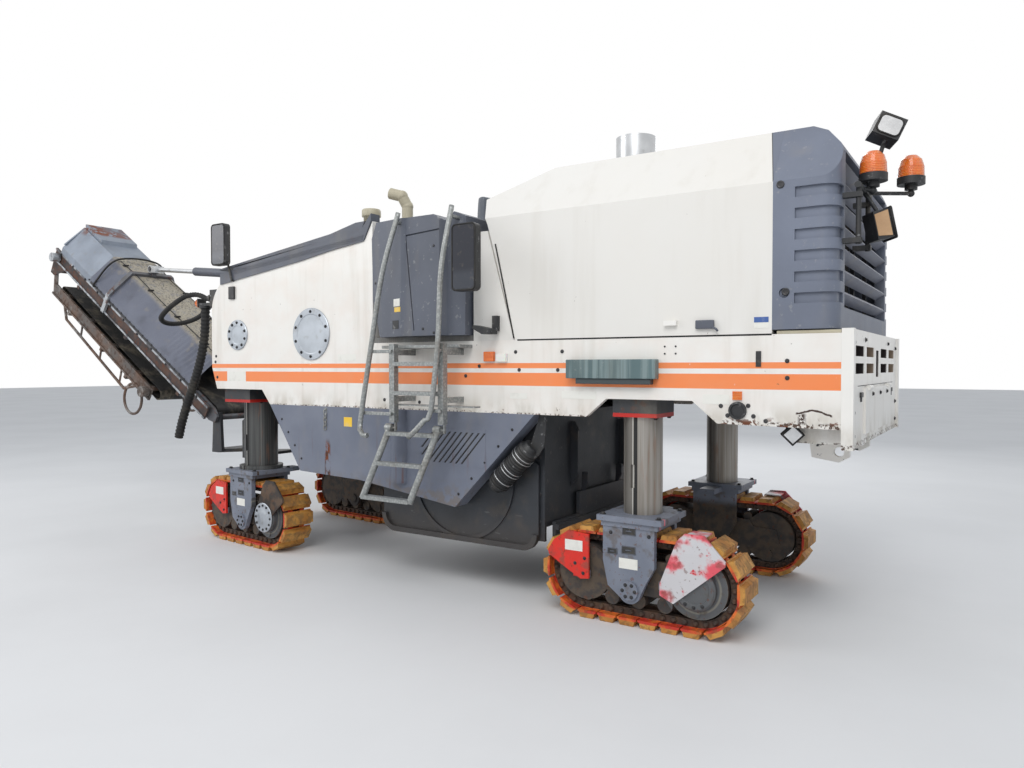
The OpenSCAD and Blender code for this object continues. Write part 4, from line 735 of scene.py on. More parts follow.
def make_side_white():
    """Side walls, with a long scrape and rust near the rear lower corner."""
    f = white_paint("side_white", low_edge=SILL_Z, stripes=True, worn_x=0.72)
    # The scrape is a line that bends upward in its middle, and a chipped patch at its front end
    wander = (f.noise(16.0, 3.0) - 0.5) * 0.03
    off = abs(f.z - ((1.413 - abs(f.x - 0.15) * 0.24) + wander))
    scrape = f.band(f.x, 0.045, 0.235, 0.004) * f.ramp(off, 0.007, 0.004)
    patch = f.band(f.x, 0.185, 0.222, 0.012) * f.band(f.z, 1.335, 1.395, 0.01)
    patch = patch * f.grain(38.0, 5.0, 0.42, 0.48)
    f.layer(f.most(scrape, patch), "42302a", 0.85).done()


for make in (make_side_white, make_rear_white, make_hood_white, make_frame, make_skirt, make_housing,
             make_galvanised, make_canvas, make_boom_paint, make_fold_paint, make_drum, make_lens,
             make_floor_plate, make_vinyl, make_mirror_glass, make_radiator, make_fittings, make_lamp_case,
             make_blades, make_recess):
    make()
white_paint("front_white", low_edge=SILL_Z, stripes=True, worn_x=-1.0).done()
make_lens("side_lens", (2.15, 2.25))
for plastic, colour in (("grey_plastic", GREY), ("box_plastic", "545862"), ("black_plastic", BLACK_PLASTIC)):
    moulded_plastic(plastic, colour).done()
dusty_paint("trim_grey", "5c606a", 0.25, 0.1).done()
dusty_paint("red_paint", "c4261e", 0.15, 0.3, 0.42).done()
dusty_paint("tan_pipe", "beb69e", 0.4, 0.2).done()
make_aluminium("cover_metal", "b8bec5", 0.42)
make_aluminium("end_box_metal", "8a929e", 0.5, 0.3, 3.27)
make_aluminium("bright_metal", "ced0d2", 0.3)
make_aluminium("bolt", "464648", 0.45)
make_rubber("belt", "262525", 0.5)
make_rubber("hose", "141415", 0.1)
make_reflector("silver", "dedede", "969696", 0.6)
make_reflector("tan_glass", "c4a07a", "967454", 0.3)
for label, colour in (("pale_label", "e8e6de"), ("yellow_label", "f0c43c"), ("blue_label", "4664a0")):
    make_label(label, colour)
# The CAD nodes that carry each finish
FINISHED = {
    "frame_dark": "main_frame primary_conveyor stay_bracket slew_bracket", "red_paint": "guide_flanges",
    "side_white": "side_shell", "rear_white": "rear_panel", "front_white": "front_body",
    "trim_grey": "tank_trim lift_barrel", "cover_metal": "tank_covers", "radiator": "engine_block",
    "hood_white": "bulkhead hood", "tread": "platform_floor", "box_plastic": "side_boxes",
    "black_plastic": "console seats mirrors light_mast", "skirt": "lower_panels",
    "galvanised": "handrails upper_ladders lower_ladder_left lower_ladder_right",
    "housing": "drum_housing scraper side_plate_left side_plate_right", "fittings": "sill_fittings",
    "side_lens": "side_lamps", "tan_pipe": "filler_and_intake", "bright_metal": "exhaust lift_rod",
    "grey_plastic": "radiator_surround", "blades": "radiator_grille", "lens": "lamps", "drum": "drum",
    "boom": "boom_frame", "belt": "boom_belt fold_belt", "canvas": "boom_cover",
    "end_box_metal": "boom_end_box", "fold": "fold_frame", "hose": "hose_loop hose_drop",
}


def dress_nodes():
    for unit in UNITS:
        for part, make in (("column_", make_column), ("undercarriage_", make_undercarriage),
                           ("track_", make_track)):
            FINISHED[part + unit] = part + unit
            make(unit)
    for finish, nodes in FINISHED.items():
        for node in nodes.split():
            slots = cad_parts[node].data.materials
            slots.clear()
            slots.append(M[finish])


# The two hoses at the nose, on the routes of their CAD tubes
LOOP = [(5.48, 0.985, 2.29), (5.53, 0.985, 2.29), (5.6, 0.99, 2.318), (5.67, 1.012, 2.332),
        (5.76, 1.044, 2.318), (5.855, 1.064, 2.276), (5.95, 1.078, 2.226), (6.05, 1.08, 2.17),
        (6.14, 1.053, 2.126), (6.206, 0.98, 2.094), (6.23, 0.88, 2.082), (6.206, 0.78, 2.094),
        (6.14, 0.707, 2.126), (6.05, 0.68, 2.17), (5.95, 0.686, 2.22), (5.85, 0.702, 2.266),
        (5.75, 0.724, 2.3), (5.655, 0.75, 2.322), (5.56, 0.772, 2.33), (5.52, 0.78, 2.33),
        (5.47, 0.78, 2.33)]
DROP = [(5.6, 0.95, 2.205), (5.6, 0.95, 2.12), (5.61, 0.95, 1.98), (5.636, 0.95, 1.85),
        (5.682, 0.95, 1.71), (5.745, 0.95, 1.57), (5.818, 0.95, 1.43), (5.9, 0.95, 1.28),
        (5.975, 0.95, 1.12), (6.03, 0.95, 0.97)]


def corrugated_hose(name, route, radius, pitch, replaced):
    points = [at(*p) for p in route]
    path = smooth_path(points, pitch / 4)
    # Ribs: the radius swings once in each pitch
    radii, run = [], 0.0
    for p, before in zip(path, path[:1] + path):
        run += (p - before).length
        radii.append(radius * (0.9 + 0.1 * math.cos(2 * math.pi * run / pitch)))
    bm = bmesh.new()
    tube(bm, path, radii, 14)
    obj = piece(name, bm, "hose")
    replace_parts(obj, replaced)
    path_length(path)


def make_hoses():
    corrugated_hose("nose_loop_hose", LOOP, 0.025, 0.024, "hose_loop")
    corrugated_hose("nose_drop_hose", DROP, 0.044, 0.036, "hose_drop")


# Canvas cover of the boom: a sheet over its bows, with slack between them
COVER_U = (0.42, 2.75)
COVER_SECTION = [(-0.432, 0.082), (-0.436, 0.165), (-0.252, 0.464), (0.252, 0.464), (0.436, 0.165),
                 (0.432, 0.082)]
COVER_COLUMNS = (6, 16, 18, 16, 6)
COVER_ROWS = 150
BOW_PITCH = 0.466


def make_cover():
    random.seed(4)
    # Phase, pitch and depth of each family of folds
    folds = [(random.uniform(0, 6.28), random.uniform(7, 16), random.uniform(0.003, 0.007))
             for _ in range(5)]
    bm = bmesh.new()
    rows = []
    for i in range(COVER_ROWS + 1):
        t = i / COVER_ROWS
        u = COVER_U[0] + (COVER_U[1] - COVER_U[0]) * t
        # Sag between the bows, and loose folds near the lower end
        slack = math.sin(math.pi * ((u - COVER_U[0]) / BOW_PITCH % 1.0)) ** 2
        loose = max(0.0, 1.0 - t * 2.6)
        row = []
        for k, count in enumerate(COVER_COLUMNS):
            (y0, v0), (y1, v1) = COVER_SECTION[k], COVER_SECTION[k + 1]
            for j in range(count + (k == len(COVER_COLUMNS) - 1)):
                s = j / count
                y, v = y0 + (y1 - y0) * s, v0 + (v1 - v0) * s
                bulge = math.sin(math.pi * s)
                wave = sum(a * math.sin(f * (u + 0.6 * v * (1 if y < 0 else -1)) + p + 4 * y)
                           for p, f, a in folds)
                if k in (1, 3):
                    inward = (0.01 * slack + 0.3 * wave * (0.3 + 0.7 * loose)) * bulge + 0.004
                    inward += 0.012 * loose * bulge * math.sin(46 * u + 9 * v) ** 2
                    y -= math.copysign(inward * 0.82, y)
                    v -= inward * 0.55
                elif k == 2:
                    v -= (0.012 * slack + 0.25 * abs(wave)) * bulge
                row.append(bm.verts.new(on_boom(u, y, v)))
        rows.append(row)
    for a, b in zip(rows, rows[1:]):
        for j in range(len(a) - 1):
            bm.faces.new((a[j], a[j + 1], b[j + 1], b[j])).smooth = True
    obj = piece("boom_canvas", bm, "canvas", "boom")
    solid = obj.modifiers.new("thickness", "SOLIDIFY")
    solid.thickness = 0.0025
    solid.offset = -1
    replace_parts(obj, "boom_cover")


def make_boom_trim():
    # Pipe laid over the cover near its upper end, with round corners
    bm = bmesh.new()
    tube(bm, smooth_path([on_boom(2.62, y, v) for y, v in (
        (-0.445, 0.1), (-0.446, 0.17), (-0.262, 0.488), (0.262, 0.488), (0.446, 0.17),
        (0.445, 0.1))], 0.03), 0.011, 8)
    piece("cover_pipe", bm, "hose", "boom")
    # Wires that run from the pipe down the ridge, with their clips
    wires, bolts = bmesh.new(), bmesh.new()
    for side in SIDES:
        tube(wires, smooth_path([on_boom(u, side * y, v) for u, y, v in (
            (2.6, 0.24, 0.482), (2.2, 0.21, 0.474), (1.6, 0.235, 0.476), (0.9, 0.215, 0.474),
            (0.5, 0.23, 0.478))], 0.05), 0.005, 6)
        for u in (2.5, 1.9, 1.3, 0.7):
            clip, half = on_boom(u, side * 0.225, 0.478), Vector((0.02, 0.03, 0.008))
            block(wires, clip - half, clip + half)
        # Battens over the cover's edges
        for k in range(24):
            bolt(bolts, on_boom(0.47 + 0.1 * k, side * 0.4365, 0.115), (0, side, 0), 0.008)
        plate(bolts, [on_boom(u, side * 0.434, v) for u, v in rectangle(0.44, 2.73, 0.09, 0.118)], 0.003,
              (0, side, 0))
        for k in range(11):
            bolt(bolts, on_boom(0.3 + 0.32 * k, side * 0.4305, 0.069), (0, side, 0), 0.011)
    piece("ridge_wires", wires, "hose", "boom")
    piece("boom_bolts", bolts, "bolt", "boom")


def make_belt_cleats():
    """Chevron cleats on both belts, on the run that faces out."""
    down = on_boom(0, 0, -1) - on_boom(0, 0, 0)
    for name, body, first, count, v in (("boom_cleats", "boom", 0.35, 13, -0.069),
                                        ("fold_cleats", "folding_section", 1.3, 9, FOLD_V - 0.2725)):
        bm = bmesh.new()
        for k in range(count):
            for side in SIDES:
                plate(bm, [on_boom(first + 0.24 * k + u, side * y, v) for u, y in (
                    (0, 0.02), (-0.12, 0.26), (-0.09, 0.26), (0.03, 0.02))], 0.012, down)
        piece(name, bm, "belt", body)


SILL_PLUGS = ((2.094, 1.757), (1.728, 1.757), (2.065, 1.634), (1.761, 1.634), (0.284, 1.688), (0.283, 1.592),
              (5.36, 1.752), (5.37, 1.7), (5.345, 1.56), (2.4, 1.66), (2.52, 1.59), (3.3, 1.4),
              (2.95, 1.39), (0.62, 1.37), (0.66, 1.425), (0.5, 1.43), (0.47, 1.37), (0.4, 1.345))


def make_side_bolts():
    """Bolts and plugs of the sides, and the plugs of the surround, which tilts with the hood."""
    bm, plugs = bmesh.new(), bmesh.new()
    for side in SIDES:
        n = (0, side, 0)
        y = side * SIDE_Y
        for x, z in SILL_PLUGS:
            turned(bm, at(x, y, z), n, [(0.013, 0), (0.013, 0.003), (0.009, 0.005)], 10)
        for x, z in rectangle(0.94, 1.01, 1.735, 1.779):
            turned(bm, at(x, y, z), n, [(0.006, 0), (0.006, 0.003)], 8)
        # Bolt circles of the two round covers
        for cx, cz, r in ((5.05, 1.94, 0.11), (4.106, 1.927, 0.186)):
            for dx, dz in circle(10, r, 0.5):
                bolt(bm, at(cx + dx, y + side * 0.0122, cz + dz), n, 0.009)
        # Upright slot in a raised rim, and the catch below the trim at the nose
        side_block(bm, side, 0.428, 0.458, SIDE_Y, SIDE_Y + 0.006, 1.655, 1.745, 0.002)
        side_block(bm, side, 5.08, 5.158, SIDE_Y, SIDE_Y + 0.02, 2.262, 2.376, 0.006)
        # Screws down both slanting edges of the skirt, and those on the side boxes
        for xa, za, xb, zb, count in ((2.065, 1.28, 2.645, 0.67, 5), (4.515, 1.26, 4.195, 0.83, 4)):
            for k in range(count):
                s = (k + 0.5) / count
                bolt(bm, at(xa + (xb - xa) * s, y, za + (zb - za) * s), n, 0.007)
        for x, z in ((2.7, 1.9), (2.7, 2.52), (2.8, 1.93), (3.36, 2.3)):
            turned(bm, at(x, side * box_face(x), z), n, [(0.01, -0.006), (0.01, 0.003), (0.006, 0.005)], 10)
        for x, z in ((0.296, 2.076), (0.328, 2.679)):
            turned(plugs, at(x, y, z), n, [(0.022, 0), (0.022, 0.004), (0.015, 0.005), (0.012, 0.002)], 16)
    piece("sill_bolts", bm, "bolt")
    piece("surround_plugs", plugs, "bolt", "hood")


def make_skirt_details():
    """Chains on the skirts, and sleeves over the slanting canisters with hangers, hoops and ribs."""
    bm = bmesh.new()
    for side in SIDES:
        for k in range(5):
            mid = at(3.943, side * (SIDE_Y + 0.009), 1.285 - 0.032 * k)
            flat = Vector((1, 0, 0)) if k % 2 else Vector((0.35, side * 0.3, 0)).normalized()
            ring = [mid + flat * 0.011 * c + Vector((0, 0, 0.021)) * s for c, s in circle(14)]
            tube(bm, ring + ring[:1], 0.0042, 6, caps=False)
        bolt(bm, at(3.943, side * SIDE_Y, 1.305), (0, side, 0), 0.01)
    piece("skirt_chains", bm, "galvanised")

    sleeves, hoops, ribs = bmesh.new(), bmesh.new(), bmesh.new()
    axis = Vector((1, 0, -1)).normalized()
    y_way = Vector((0, 1, 0))
    up = axis.cross(y_way)
    half = ((0.078, 0.182), (0.07, 0.192), (0.056, 0.196), (0.056, 0.222), (0.04, 0.224))
    profile = [(r, -h) for r, h in reversed(half)] + list(half)
    for side in SIDES:
        centre = at(2.155, side * 0.944, 0.952)
        turned(sleeves, centre, axis, profile, 32)
        side_plate(sleeves, side, 0.936, 0.016, (1.88, 1.471), (1.935, 1.471), (1.935, 1.33),
                   (2.01, 1.11), (1.95, 1.04), (1.9, 1.11), (1.88, 1.33))
        for made, spots, r, wire in ((hoops, (-0.123, -0.096, 0.012, 0.039, 0.117), 0.0805, 0.0032),
                                     (ribs, [-0.165 + 0.022 * j for j in range(16)], 0.0775, 0.0042)):
            for spot in spots:
                ring = [centre + axis * spot + r * (c * y_way + s * up) for c, s in circle(32)]
                tube(made, ring + ring[:1], wire, 6, caps=False)
    piece("canister_sleeves", sleeves, "black_plastic")
    piece("canister_hoops", hoops, "bright_metal")
    piece("canister_ribs", ribs, "hose")


# Stations of the rear panel's face and of its raised hatch
REAR_FACE_X = -0.045
HATCH_X = -0.06


def make_rear_details():
    """What shows through the rear slots, and the hatch's line, catches and screws."""
    bm = bmesh.new()
    # A thin sheet behind the slots, painted with shadow, and with pale ribs that have painted shade between
    # them
    block(bm, at(-0.004, -0.88, 1.575), at(-0.0012, 0.88, 1.79), 0.0008)
    piece("slot_backing", bm, "recess")
    bm = bmesh.new()
    tube(bm, [at(REAR_FACE_X - 0.0005, y, 1.545) for y in (0.76, -0.76)], 0.0022, 6)
    for y in (-0.66, 0.66):
        for deep, half, z0, z1, bevel in ((0.012, 0.035, 1.478, 1.508, 0.004),
                                          (0.008, 0.012, 1.452, 1.48, 0.003)):
            block(bm, at(REAR_FACE_X - deep, y - half, z0), at(REAR_FACE_X + 0.002, y + half, z1), bevel)
    for y, z in ((0.9, 1.79), (0.9, 1.4), (0.9, 1.27), (-0.9, 1.79), (-0.9, 1.4), (-0.9, 1.27),
                 (0.5, 1.815), (-0.5, 1.815)):
        bolt(bm, at(REAR_FACE_X, y, z), (-1, 0, 0), 0.01)
    for y in (0.3, -0.02, -0.34):
        bolt(bm, at(HATCH_X, y, 1.49), (-1, 0, 0), 0.01)
    piece("rear_fasteners", bm, "bolt")


def make_hood_details():
    """Strip and seal between the sill and the hood, latches, and the bead down the hood's front edge."""
    strip, seal, latches, bead = (bmesh.new() for _ in range(4))
    for side in SIDES:
        side_block(strip, side, 0.003, 0.345, 0.962, 1.002, SEAM_Z + 0.0004, SEAM_Z + 0.019)
        side_block(seal, side, 0.37, 2.08, SIDE_Y - 0.0003, SIDE_Y + 0.0013, SEAM_Z - 0.006,
                   SEAM_Z + 0.004, 0.0005)
        side_block(latches, side, 0.7, 0.812, SIDE_Y, SIDE_Y + 0.024, 1.88, 1.932, 0.006)
        tube(latches, [at(x, side * (SIDE_Y + y), z) for x, y, z in (
            (0.71, 0.018, 1.89), (0.685, 0.022, 1.878), (0.675, 0.02, 1.864))], 0.007, 8)
        tube(bead, [at(x, side * (SIDE_Y + 0.001), z) for x, z in (
            (2.262, 2.512), (2.184, 2.18), (2.108, 1.852))], 0.0055, 8)
    piece("sill_strip", strip, "tan_pipe")
    piece("hood_seal", seal, "hose")
    piece("hood_latches", latches, "trim_grey", "hood")
    piece("hood_front_bead", bead, "hose", "hood")


def make_sill_and_trim():
    """Cases over the sill's lamp boxes, amber lamps, and the lip and fin of the tank's trim."""
    cases, amber, lips = bmesh.new(), bmesh.new(), bmesh.new()
    wall = SIDE_Y + 0.0002
    for side in SIDES:
        side_block(cases, side, 1.048, 1.668, wall, SIDE_Y + 0.064, 1.58, 1.702, 0.005)
        side_block(cases, side, 1.083, 1.602, wall, SIDE_Y + 0.052, 1.545, 1.581, 0.005)
        side_block(amber, side, 2.262, 2.346, SIDE_Y, SIDE_Y + 0.032, 1.692, 1.762, 0.006)
        # The lip turns down over the side wall, and the fin stands on the trim's rear end
        side_plate(lips, side, wall, 0.0118, (5.28, 2.5), (5.28, 2.402), (4.227, 2.538), (3.875, 2.596),
                   (3.506, 2.642), (3.504, 2.69))
        side_plate(lips, side, 0.925, 0.0968, (3.53, 2.73), (3.49, 2.796), (3.59, 2.793), (3.87, 2.73),
                   (5.29, 2.541), (5.29, 2.53))
    piece("lamp_cases", cases, "lamp_case")
    piece("front_side_lamps", amber, "lens")
    piece("trim_lips", lips, "trim_grey")
    # Neck and cap on the filler, and the foot of the intake pipe
    bm = bmesh.new()
    turned(bm, at(3.72, 0.7, 2.8155), (0, 0, 1), [(0.064, 0), (0.064, 0.085), (0.077, 0.087), (0.079, 0.092),
                                                  (0.079, 0.138), (0.072, 0.148), (0.03, 0.15)], 36)
    block(bm, at(3.325, 0.603, 2.7002), at(3.414, 0.697, 2.7915), 0.005)
    piece("filler_neck", bm, "tan_pipe")


# Stations of the rear upper ends of the first and last louvre, their heights, lean and foremost station
LOUVRES = (2.352, 2.813, 0.952, 1.182, 0.205, 2.925)
LOUVRE_COUNT = 10


def make_louvres():
    """Louvred plate on each skirt: slots that lean forward going down, cut off along an upright line."""
    sheets, slots = bmesh.new(), bmesh.new()
    first, last, low, high, lean, limit = LOUVRES
    for side in SIDES:
        side_plate(sheets, side, SIDE_Y, 0.002, (2.345, 1.205), (2.95, 1.205), (2.95, 0.932),
                   (2.368, 0.932), (2.345, 0.96))
        for k in range(LOUVRE_COUNT):
            top = first + (last - first) * k / (LOUVRE_COUNT - 1)
            reach = min(1.0, (limit - top) / lean)
            foot, foot_z = top + lean * reach, high + (low - high) * reach
            # Each slot is a thin near-black plate: painted shade in the louvre's opening
            side_plate(slots, side, SIDE_Y + 0.0018, 0.0007, (top - 0.007, high), (top + 0.007, high),
                       (foot + 0.007, foot_z), (foot - 0.007, foot_z))
            tube(sheets, [at(x + 0.01, side * (SIDE_Y + 0.002), z)
                          for x, z in ((top, high), (foot, foot_z))], 0.003, 6)
    piece("louvre_plates", sheets, "skirt")
    piece("louvre_slots", slots, "hose")


# Outer face of the side boxes: its offset behind its corner, the corner's station, and how it slants ahead
BOX_OUT = 1.15
BOX_CORNER_X = 3.01
BOX_SLANT = (0.408, 0.13)


def box_face(x):
    """Side offset of the side boxes' outer face."""
    return BOX_OUT - BOX_SLANT[1] * max(0.0, x - BOX_CORNER_X) / BOX_SLANT[0]


def box_normal(side):
    return Vector((BOX_SLANT[1], side * BOX_SLANT[0], 0)).normalized()


def on_box(bm, side, lift, thickness, *span):
    """A plate on the slanting face of a side box."""
    normal = box_normal(side)
    plate(bm, [at(x, side * box_face(x), z) + normal * lift for x, z in rectangle(*span)],
          thickness, normal)


def make_box_fronts():
    """Front ends of the side boxes, which reach the tank, with a vent on each slanting face."""
    bm, vents = bmesh.new(), bmesh.new()
    inner = 0.822
    for side in SIDES:
        part = bmesh.new()
        side_plate(part, side, inner, BOX_OUT + 0.0001 - inner, (2.961, 1.8807), (3.3, 1.8807),
                   (3.4, 2.17), (3.418, 2.65), (3.35, 2.765), (2.961, 2.7455))
        cut = bmesh.ops.bisect_plane(
            part, geom=part.verts[:] + part.edges[:] + part.faces[:], clear_outer=True,
            plane_co=at(BOX_CORNER_X, side * BOX_OUT, 2.0), plane_no=box_normal(side))
        edges = [e for e in cut["geom_cut"] if isinstance(e, bmesh.types.BMEdge)]
        bmesh.ops.edgeloop_fill(part, edges=edges)
        mesh = to_mesh("box_front", part)
        bm.from_mesh(mesh)
        bpy.data.meshes.remove(mesh)
        on_box(vents, side, 0.0006, 0.0015, 3.04, 3.122, 1.936, 2.0)
    piece("box_fronts", bm, "box_plastic")
    piece("box_vents", vents, "black_plastic")


# Each handrail's points (station, distance from the middle plane, height) from its top to its hook's end,
# the straps' inner end, and the height and outer station of its low strap
HANDRAILS = (
    (((3.005, 1.18, 2.78), (3.095, 1.255, 2.34), (3.18, 1.28, 1.83), (3.284, 1.292, 1.25),
      (3.282, 1.292, 1.182), (3.264, 1.292, 1.15), (3.214, 1.292, 1.148)), 3.0, 1.3, 3.302),
    (((2.515, 1.18, 2.78), (2.55, 1.255, 2.34), (2.562, 1.28, 1.83), (2.616, 1.292, 1.345),
      (2.65, 1.318, 1.285), (2.705, 1.345, 1.215), (2.776, 1.345, 1.16)), 2.545, 1.335, 2.632))


def make_handrails():
    """Tube handrails on smooth bends with their straps and brackets, clear of the folding ladders."""
    bm = bmesh.new()
    for side in (1, -1):
        for route, strap, z_low, x_low in HANDRAILS:
            tube(bm, smooth_path([at(x, side * y, z) for x, y, z in route], 0.03), 0.019, 14)
            for z, x in ((1.755, route[2][0] + 0.018), (z_low, x_low)):
                side_block(bm, side, strap, x, LADDER_Y + 0.0243, LADDER_Y + 0.046, z, z + 0.024)
            top = route[0][0]
            side_block(bm, side, top - 0.004, top + 0.034, 1.08, 1.186, 2.7, 2.72, 0.004)
    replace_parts(piece("handrail_tubes", bm, "galvanised"), "handrails")


def make_labels():
    """Bare stickers and plates where the machine carries its signs."""
    spots = (("pale", 4.945, 5.2, 1.528, 1.612), ("yellow", 3.648, 3.737, 1.175, 1.25),
             ("pale", 3.6, 3.8, 1.7, 1.755), ("pale", 2.0, 2.14, 1.435, 1.475),
             ("pale", 1.475, 1.73, 1.445, 1.494), ("pale", 0.61, 0.77, 1.434, 1.492),
             ("pale", 0.388, 0.47, 1.876, 1.908), ("blue", 0.388, 0.47, 1.909, 1.94))
    for i, (colour, x0, x1, z0, z1) in enumerate(spots):
        body = "hood" if z0 > SEAM_Z else "chassis"
        for side, name in zip(SIDES, ("right", "left")):
            bm = bmesh.new()
            side_block(bm, side, x0, x1, SIDE_Y + 0.0003, SIDE_Y + 0.0015, z0, z1, 0.0004)
            piece("label_%d_%s" % (i, name), bm, colour + "_label", body)
    # Two small stickers on the slanting face of each side box
    for colour, span in (("pale", (3.024, 3.106, 2.104, 2.16)), ("yellow", (3.016, 3.096, 2.062, 2.098))):
        bm = bmesh.new()
        for side in SIDES:
            on_box(bm, side, 0.0005, 0.001, *span)
        piece("box_" + colour + "_label", bm, colour + "_label")


def make_mirror_faces():
    glass, rims = bmesh.new(), bmesh.new()
    for x, y, z, half_x, half_z in ((2.29, 1.35, 2.385, 0.1, 0.225), (5.175, 1.12, 2.745, 0.095, 0.185)):
        for side in SIDES:
            side_plate(glass, side, y, 0.0015, *((x + dx, z + dz) for dx, dz in rounded(
                half_x - 0.042, half_z - 0.042, 0.028)))
            ring = [at(x + dx, side * y, z + dz) for dx, dz in rounded(
                half_x - 0.035, half_z - 0.035, 0.029)]
            tube(rims, ring + ring[:1], 0.005, 6, caps=False)
    piece("mirror_glass", glass, "mirror")
    piece("mirror_rims", rims, "hose")


# Distances outward from a unit's column: its yoke's face, and its guards' faces
YOKE_W = 0.192
GUARD_W = 0.168
CHAIN_LINKS = 44


def make_unit_details(unit):
    """Chain link pins, bolts, recesses, labels, and the hub cap or the guard's flange of one unit."""
    shift = UNITS[unit][4]
    body = "unit_" + unit
    outward = (on_unit(unit, 0, 1, 0) - on_unit(unit, 0, 0, 0)).normalized()
    bm = bmesh.new()
    loop = 2 * RUN_LEN + 2 * math.pi * PATH_R
    for k in range(CHAIN_LINKS):
        u, z = loop_place(loop * (k + 0.5) / CHAIN_LINKS, PATH_R - 0.026)
        for face in (1, -1):
            base = on_unit(unit, u + shift, face * 0.0875, z) - outward * (face * 0.004)
            turned(bm, base, outward * face, [(0.019, 0), (0.019, 0.009), (0.01, 0.011), (0.01, 0.016)], 10)
    piece("chain_pins_" + unit, bm, "track_" + unit, body)
    bm = bmesh.new()
    hub_u = shift - RUN_LEN / 2
    rear = unit.startswith("rear")
    for du, dz in circle(12, 0.108):
        if not rear or END_R + dz < 0.24:
            bolt(bm, on_unit(unit, hub_u + du, 0.1605 if rear else 0.1765, END_R + dz), outward, 0.008)
    for u, dz in circle(6, 0.042):
        bolt(bm, on_unit(unit, u, 0.208, 0.245 + dz), outward, 0.008)
    for u, w, z in ((-0.13, YOKE_W, 0.6), (0.13, YOKE_W, 0.6), (0.33, GUARD_W, 0.4),
                    (0.4, GUARD_W, 0.36), (0.34, GUARD_W, 0.3)):
        bolt(bm, on_unit(unit, u, w, z), outward, 0.008)
    for u in (-0.19, 0.19):
        for w in (-0.18, 0.18):
            bolt(bm, on_unit(unit, u, w, 0.71), (0, 0, 1), 0.014)
    piece("unit_bolts_" + unit, bm, "bolt", body)
    # Rims of the three small recesses on the yoke, with dark plates on their floors as painted shade
    rims, recess_shade_plates = bmesh.new(), bmesh.new()
    for span in ((-0.04, 0.048, 0.596, 0.644), (-0.04, 0.052, 0.476, 0.522), (0.085, 0.15, 0.464, 0.499)):
        ring = [on_unit(unit, u, YOKE_W + 0.0005, z) for u, z in rectangle(*span)]
        frame_of_tubes(rims, ring, 0.003, 6)
        plate(recess_shade_plates, ring, 0.0012, outward)
        mid = (ring[0] + ring[2]) / 2 + outward * 0.003
        along = (ring[1] - ring[0]) * 0.22
        tube(rims, [mid - along, mid + along], 0.004, 6)
    piece("unit_rims_" + unit, rims, "trim_grey", body)
    bm = bmesh.new()
    if rear:
        # Flange of the guard, bent inward over the pads
        plate(bm, [on_unit(unit, u, w, 0.62) for u, w in (
            (-0.345, 0.165), (-0.345, -0.01), (-0.465, -0.01), (-0.465, 0.165))], 0.008, (0, 0, 1))
    else:
        turned(bm, on_unit(unit, hub_u, 0.1684, END_R), outward,
               [(0.128, 0), (0.133, 0.002), (0.133, 0.006), (0.126, 0.009), (0.12, 0.008), (0.06, 0.008),
                (0.055, 0.011), (0.03, 0.011)], 40)
        piece("hub_cap_" + unit, bm, "cover_metal", body)
    piece("unit_recesses_" + unit, recess_shade_plates, "black_plastic", body)
    if rear:
        piece("guard_flange_" + unit, bm, "undercarriage_" + unit, body)
    bm = bmesh.new()
    for w, spots in ((0.1684, ((0.345, 0.442), (0.345, 0.512), (0.475, 0.512), (0.475, 0.442))),
                     (0.1924, ((-0.055, 0.446), (0.072, 0.446), (0.072, 0.38), (-0.055, 0.38)))):
        plate(bm, [on_unit(unit, u, w, z) for u, z in spots], 0.001, outward)
    piece("unit_labels_" + unit, bm, "pale_label", body)


def loop_place(d, r):
    """Place on the track's loop at a distance along it, at radius r: along and up."""
    half, arc = RUN_LEN / 2, math.pi * PATH_R
    if d < RUN_LEN:
        return d - half, END_R + r
    if d < RUN_LEN + arc:
        a = (d - RUN_LEN) / PATH_R
        return half + r * math.sin(a), END_R + r * math.cos(a)
    if d < 2 * RUN_LEN + arc:
        return half - (d - RUN_LEN - arc), END_R - r
    a = (d - 2 * RUN_LEN - arc) / PATH_R
    return -half - r * math.sin(a), END_R - r * math.cos(a)


def turn_by(z_degrees, y_degrees):
    return (Matrix.Rotation(math.radians(z_degrees), 3, "Z")
            @ Matrix.Rotation(math.radians(y_degrees), 3, "Y"))


